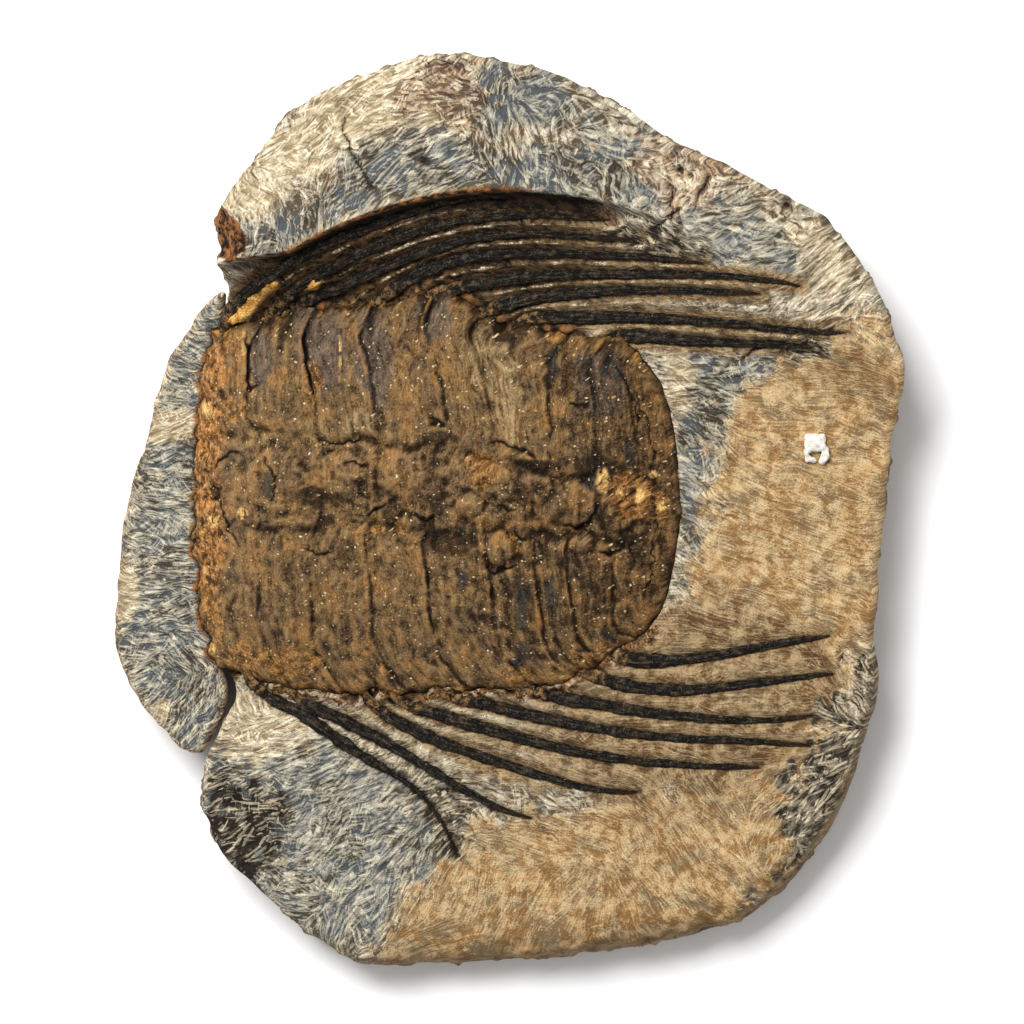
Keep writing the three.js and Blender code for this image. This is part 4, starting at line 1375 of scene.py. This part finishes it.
def stone_material(name, size):
    """Stone with tool marks, whose size is 1 for the usual ones."""
    g = Graph(name)
    place = g.place()
    broad = g.noise(place, 12.0, 1.0, 0.6)
    middle = g.noise(place, 2.2, 3.0, 0.65)
    grain = g.noise(place, 0.4, 2.0, 0.75)
    blotchy = g.noise(place, 5.0, 4.0, 0.68)
    hue = g.range(g.add(g.noise(place, 7.0, 1.0), (middle, 0.6)), 0.70, 0.90)
    plain, black = g.painted("plain"), g.painted("black")

    drift = g.noise(place, 2.5, 0.0, 0.5, "Color")
    warp = g.vector("MULTIPLY", g.vector("SUBTRACT", drift, (0.5, 0.5, 0.5)), (0.25, 0.25, 0))
    wavy = g.vector("ADD", place, warp)
    comb = g.times(g.math("ARCTAN2", g.painted("comb_s"), g.painted("comb_c")), 0.5)
    fine = g.math("GREATER_THAN", g.add(plain, middle), 1.0)
    turning = g.times(g.less(g.noise(place, 8.0, 0.0), 0.5), g.line(fine, -0.9, 1.7))
    density = g.add((hue, 0.35), (plain, -0.35), (black, -0.2), 0.62)
    first, streaks = tool_marks(g, wavy, g.add(comb, turning), fine, density, 0.0, size)
    crossing, sparse = g.add(comb, (turning, -2.2)), g.line(black, -0.25, 0.5)
    second, crossed = tool_marks(g, wavy, crossing, fine, sparse, 0.31, 0.8 * size)
    marks = g.math("MAXIMUM", first, second)

    low = g.shade(hue, (84, 76, 62), (94, 74, 50))
    patchy = g.range(middle, 0.36, 0.60)
    high = g.shade(patchy, (206, 190, 160), (238, 228, 204))
    rim = g.times(g.less(g.add(streaks, (middle, 0.6)), 0.8), 1.1)
    for key, dark, other_dark, pale, other_pale in STONE_COLOURS:
        share = g.patch(key, rim, 0.15, 0.85)
        low = g.mix(share, low, g.shade(hue, dark, other_dark))
        high = g.mix(share, high, g.shade(patchy, pale, other_pale))

    # The relief share is painted shade and light: darker hollows, lighter rises.
    tone = g.add((streaks, 0.5), (crossed, 0.35), (middle, 0.35))
    tone = g.add(tone, (grain, 0.3), (broad, 0.2), (g.painted("relief_shading"), 0.08))
    calm = g.add((middle, 0.65), (grain, 0.5), (streaks, 0.5), (blotchy, 1.1))
    tone = g.mix(g.times(plain, 0.85), g.range(tone, 0.72, 1.04), g.range(calm, 1.18, 1.62))
    tone = g.times(tone, g.line(black, -0.26, 0.58))
    bald = g.times(plain, g.range(blotchy, 0.40, 0.62, 0.14, 0.40))
    strength = g.add((bald, -1.0), (black, 0.2), 0.5)
    pattern = g.add(tone, (marks, strength), (g.painted("dusk"), -0.2))
    g.colour = g.mix(g.math("MINIMUM", pattern, 1.0), low, high)
    scratch = g.times(g.vein(streaks, 0.5, 0.015, 0.6), plain)
    g.lay(g.times(scratch, g.range(middle, 0.46, 0.58)), (92, 62, 34))

    # Dark earth on the bank and round the spines, partly dirt and partly painted shade.
    earth_and_shade = g.ramp(middle, 0.35, 0.65, (20, 15, 11), (84, 60, 34))
    earth_and_shade = g.mix(g.times(marks, 0.16), earth_and_shade, srgb((190, 168, 134)))
    g.lay(g.times(g.painted("dirt_and_shade"), g.range(grain, 0.2, 0.6, 0.75, 1.0)), earth_and_shade)
    brown = g.ramp(middle, 0.35, 0.65, (24, 18, 12), (108, 80, 50))
    g.lay(g.patch("shelly", rim, 0.2, 0.7), brown)
    bright = g.add(grain, (middle, 0.5))
    crest = g.ramp(bright, 0.6, 0.95, (86, 70, 48), (232, 216, 184))
    g.lay(g.range(g.painted("ridge"), 0.45, 0.85), crest)
    chunks = g.add((middle, 1.5), (grain, 0.5))
    rusty = g.ramp(chunks, 0.84, 1.22, (26, 18, 13), (146, 96, 54))
    g.lay(g.patch("rust", g.swing(middle, 1.4), 0.25, 0.7), rusty)
    crumb = g.ramp(g.add(middle, grain), 0.8, 1.25, (36, 25, 16), (158, 116, 66))
    pale = g.shade(grain, (70, 62, 50), (222, 206, 176))
    crumb = g.mix(g.range(middle, 0.5, 0.6), crumb, pale)
    g.lay(g.range(g.painted("crumbs"), 0.2, 0.6), crumb)
    yellow = g.ramp(g.add(grain, middle), 0.8, 1.3, (168, 106, 38), (250, 206, 118))
    g.lay(g.painted("yellow"), yellow)
    # Painted shade: near-black in the spines' troughs, under the rim's overhang, in cracks and pits, and
    # along the shield's foot.
    dark = g.ramp(middle, 0.42, 0.62, (18, 14, 12), (52, 38, 25))
    g.lay(g.patch("painted_shade", g.swing(grain, 0.9), 0.35, 0.75), dark)

    side = g.math("MINIMUM", g.add(g.painted("side"), g.painted("edge")), 1.0)
    rocky = g.bedding(5.0, 4.0, 0.68)
    rock = g.ramp(g.add(rocky, (grain, 0.2)), 0.36, 0.84, (70, 54, 38), (166, 138, 102))
    g.lay(g.times(side, 0.94), rock)
    combed = g.add(g.times(streaks, g.line(plain, -0.5, 0.8)), middle)
    height = g.add((combed, g.less(1.0, side)), (grain, 0.6), (g.times(rocky, side), 4.0))
    return g.finish(0.85, 0.15, height, 0.5)


def shell_material(name):
    """The shield's worn brown shell."""
    g = Graph(name)
    place = g.place()
    combed = g.flat(g.painted("comb_x"), g.times(g.split(place)[1], 0.2))
    broad = g.noise(place, 7.0, 3.0, 0.6)
    middle = g.noise(place, 1.7, 3.0, 0.65)
    grain = g.noise(place, 0.45, 3.0, 0.8)
    fibre = g.noise(combed, 0.75, 2.0, 0.6)
    creases = g.vein(fibre, 0.47, 0.03)
    wrinkles = g.times(g.vein(middle, 0.5, 0.02), 0.7)
    lines = g.times(g.math("MAXIMUM", wrinkles, creases), g.range(broad, 0.36, 0.6))

    # The relief share is painted shade and light: darker hollows, lighter rises.
    tone = g.add((g.painted("light"), 0.12), (middle, 0.20), (fibre, 0.14))
    tone = g.add(tone, (grain, 0.72), (broad, 0.6), (g.painted("relief_shading"), 0.26))
    tone = g.range(g.add(tone, (g.painted("dim"), -0.11)), 0.59, 1.18)
    hue = g.add(broad, (middle, 0.22), (fibre, 0.05))
    pale = g.times(g.painted("pale"), g.range(fibre, 0.3, 0.55))
    g.colour = g.shade(tone, (42, 28, 12), (166, 132, 86))
    for share, dark, light in [
        (g.range(hue, 0.53, 0.69, 0.65, 0.0), (44, 31, 20), (152, 120, 88)),
        (g.range(hue, 0.65, 0.84, 0.0, 0.5), (54, 32, 12), (178, 124, 70)),
        (g.times(g.painted("grey"), 0.85), (40, 32, 28), (132, 114, 98)),
        (g.times(g.painted("tail"), 0.45), (40, 26, 10), (148, 106, 58)),
        (g.times(pale, 0.8), (100, 78, 48), (194, 166, 120)),
        (g.times(g.painted("blue"), 0.8), (30, 32, 34), (78, 76, 68)),
    ]:
        g.lay(share, g.shade(tone, dark, light))

    uneven = g.line(g.add(middle, grain), 2.4, -1.4)
    g.lay(g.range(g.times(g.painted("black"), uneven), 0.15, 1.1, 0.0, 0.85), (20, 14, 9))
    g.lay(g.range(g.add((middle, 0.25), grain), 0.73, 0.84, 0.0, 0.4), (30, 20, 12))
    hairs = g.times(g.vein(middle, 0.57, 0.014), g.range(grain, 0.48, 0.60, 0.0, 0.6))
    g.lay(hairs, (196, 172, 134))
    mixed = g.add(grain, (middle, 1.2), (fibre, 0.2))
    orange = g.ramp(mixed, 0.98, 1.5, (76, 48, 20), (214, 156, 86))
    g.lay(g.times(g.patch("rust", g.swing(middle, 1.2), 0.25, 1.1), 0.66), orange)
    chunks = g.add((middle, 1.2), (grain, 0.45), (broad, 0.4))
    crumbs = g.ramp(chunks, 0.80, 1.22, (40, 26, 15), (204, 138, 68))
    bright = g.range(g.add(grain, (middle, 0.6)), 0.90, 1.02)
    crumbs = g.mix(bright, crumbs, srgb((224, 196, 152)))
    g.lay(g.times(g.patch("crumble", g.swing(broad, 1.2), 0.3, 0.9), 0.75), crumbs)
    gold = g.ramp(g.add(grain, middle), 0.7, 1.2, (150, 92, 34), (250, 206, 128))
    g.lay(g.times(g.painted("gold"), g.range(middle, 0.36, 0.50)), gold)
    lip = g.times(g.painted("lip"), g.range(middle, 0.3, 0.55))
    g.lay(g.times(lip, 0.75), (190, 130, 64))
    threads = g.times(g.painted("threads"), g.range(middle, 0.3, 0.5))
    g.lay(g.times(threads, 0.6), (150, 100, 46))
    g.lay(g.times(lines, 0.55), (28, 18, 9))
    # Painted shade in the furrows and cracks.
    g.lay(g.patch("furrow", g.swing(grain, 0.5), 0.35, 1.0), (20, 13, 7))

    # Painted highlights: tiny pale and golden glints set into the colour.
    jitter = g.vector("MULTIPLY", g.flat(grain, middle), (0.9, 0.9, 0))
    away, random = g.cells(g.vector("ADD", place, jitter), 1.3, "Distance")
    size = g.times(g.math("POWER", random[0], 6.0), 0.29)
    painted_glint = g.times(g.less(size, away), 10.0, clamp=True)
    g.lay(painted_glint, g.shade(random[1], (250, 236, 196), (206, 160, 92)))
    combed = g.add((fibre, 0.5), (creases, -0.2))
    combed = g.times(combed, g.less(1.0, g.painted("crumble")))
    height = g.add(combed, (grain, 0.8), middle)
    return g.finish(g.range(tone, 0.0, 1.0, 0.38, 0.60), 0.15, height, 0.6)


def spine_material(name):
    """The spines' black shell, brown at the root and dusty along its fibres."""
    g = Graph(name)
    place = g.place()
    middle = g.noise(place, 1.4, 3.0, 0.6)
    grain = g.noise(place, 0.35, 2.0, 0.7)
    fibre = g.flat(g.times(g.painted("run"), 0.2), g.painted("around"))
    fibre = g.noise(fibre, 0.8, 3.0, 0.6)
    dusty = g.add((middle, 0.7), (fibre, 0.9), (grain, 0.4))
    g.colour = g.ramp(dusty, 0.92, 1.42, (9, 8, 7), (88, 77, 61))
    brown = g.ramp(g.add(middle, (grain, 0.6)), 0.6, 1.0, (28, 19, 12), (150, 114, 70))
    g.lay(g.patch("root", g.swing(middle, 1.4), 0.2, 0.9, 0.0, 0.9), brown)
    g.lay(g.times(g.painted("tip"), 0.5), (60, 38, 22))
    rust = g.range(g.noise(place, 3.2, 3.0, 0.7), 0.58, 0.70)
    g.lay(g.times(rust, 0.25), (92, 60, 30))
    # Painted highlights: small pale glints.
    g.lay(g.times(g.range(grain, 0.69, 0.77), 0.5), (170, 150, 120))
    height = g.add(middle, (grain, 0.4), fibre)
    return g.finish(g.range(grain, 0.3, 0.7, 0.34, 0.60), 0.16, height, 0.45)


def white_material(name):
    """The fleck's white mineral."""
    g = Graph(name)
    place = g.place()
    middle = g.noise(place, 1.2, 4.0, 0.6)
    grain = g.noise(place, 0.3, 3.0, 0.7)
    g.colour = g.ramp(middle, 0.35, 0.65, (224, 214, 198), (250, 248, 244))
    return g.finish(0.7, 0.5, g.add((middle, 0.8), grain), 0.2, 0.9)


def floor_material():
    """A matt floor, nearly white."""
    g = Graph("pale_floor")
    shade = g.noise(g.place(), 400.0, 2.0)
    g.colour = g.shade(shade, (250, 250, 250), (254, 254, 254))
    return g.finish(0.95, 0.1)


# ---------------------------------------------------------------- the pieces

slab = make_slab()
front = make_front()
shield = make_shield()
spines = [make_spine(node) for node in SPINES]
fleck = make_fleck()

stone = stone_material("carved_limestone", 1.0)
front_limestone = stone_material("front_limestone", 0.8)
shell = shell_material("brown_shell")
dark_shell = spine_material("black_shell")

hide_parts("matrix_slab")
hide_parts("matrix_front_piece")
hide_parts("trilobite_body")
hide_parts("white_chip")
for spine, node in zip(spines, SPINES):
    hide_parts(node)

finishes = [
    (slab, "matrix_stone", stone),
    (front, "front_stone", front_limestone),
    (shield, "fossil_shell", shell),
    (fleck, "white_mineral", white_material("white_mineral")),
]
finishes += [(spine, "fossil_spine", dark_shell) for spine in spines]
for piece, slot, material in finishes:
    piece.data.materials.clear()
    piece.data.materials.append(material)
    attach(piece, "root")

# ---------------------------------------------------------------- floor, light and camera

# Metres from here on.
CAMERA_HEIGHT = 2.0
VIEW_MIDDLE = (0.0002, -0.0002)
VIEW_WIDTH = 0.2048
VIEW_LEVEL = 0.02
SENSOR = 36.0
FLOOR_HALF = 3.0
KEY_PLACE, KEY_SIZE, KEY_POWER = (-0.6, 0.8, 1.4), 0.9, 40
WORLD_STRENGTH = 0.48

floor_mesh = bpy.data.meshes.new("floor")
floor_corners = [(FLOOR_HALF * i, FLOOR_HALF * j, 0) for i, j in [(-1, -1), (1, -1), (1, 1), (-1, 1)]]
floor_mesh.from_pydata(floor_corners, [], [(0, 1, 2, 3)])
floor = bpy.data.objects.new("floor", floor_mesh)
floor.data.materials.append(floor_material())
bpy.context.scene.collection.objects.link(floor)

camera_data = bpy.data.cameras.new("camera")
camera_data.sensor_width = SENSOR
camera_data.lens = SENSOR * (CAMERA_HEIGHT - VIEW_LEVEL) / VIEW_WIDTH
camera = bpy.data.objects.new("camera", camera_data)
camera.location = (*VIEW_MIDDLE, CAMERA_HEIGHT)
bpy.context.scene.collection.objects.link(camera)
bpy.context.scene.camera = camera


def area_light(name, place, size, power):
    """A square light that shines at the part."""
    data = bpy.data.lights.new(name, "AREA")
    data.size = size
    data.energy = power
    light = bpy.data.objects.new(name, data)
    light.location = place
    light.rotation_euler = (-Vector(place)).to_track_quat("-Z", "Y").to_euler()
    bpy.context.scene.collection.objects.link(light)


area_light("key", KEY_PLACE, KEY_SIZE, KEY_POWER)

world = bpy.data.worlds.new("studio")
world.use_nodes = True
backdrop = world.node_tree.nodes["Background"].inputs
backdrop["Color"].default_value = (1, 1, 1, 1)
backdrop["Strength"].default_value = WORLD_STRENGTH
bpy.context.scene.world = world
bpy.context.scene.view_settings.view_transform = "Standard"
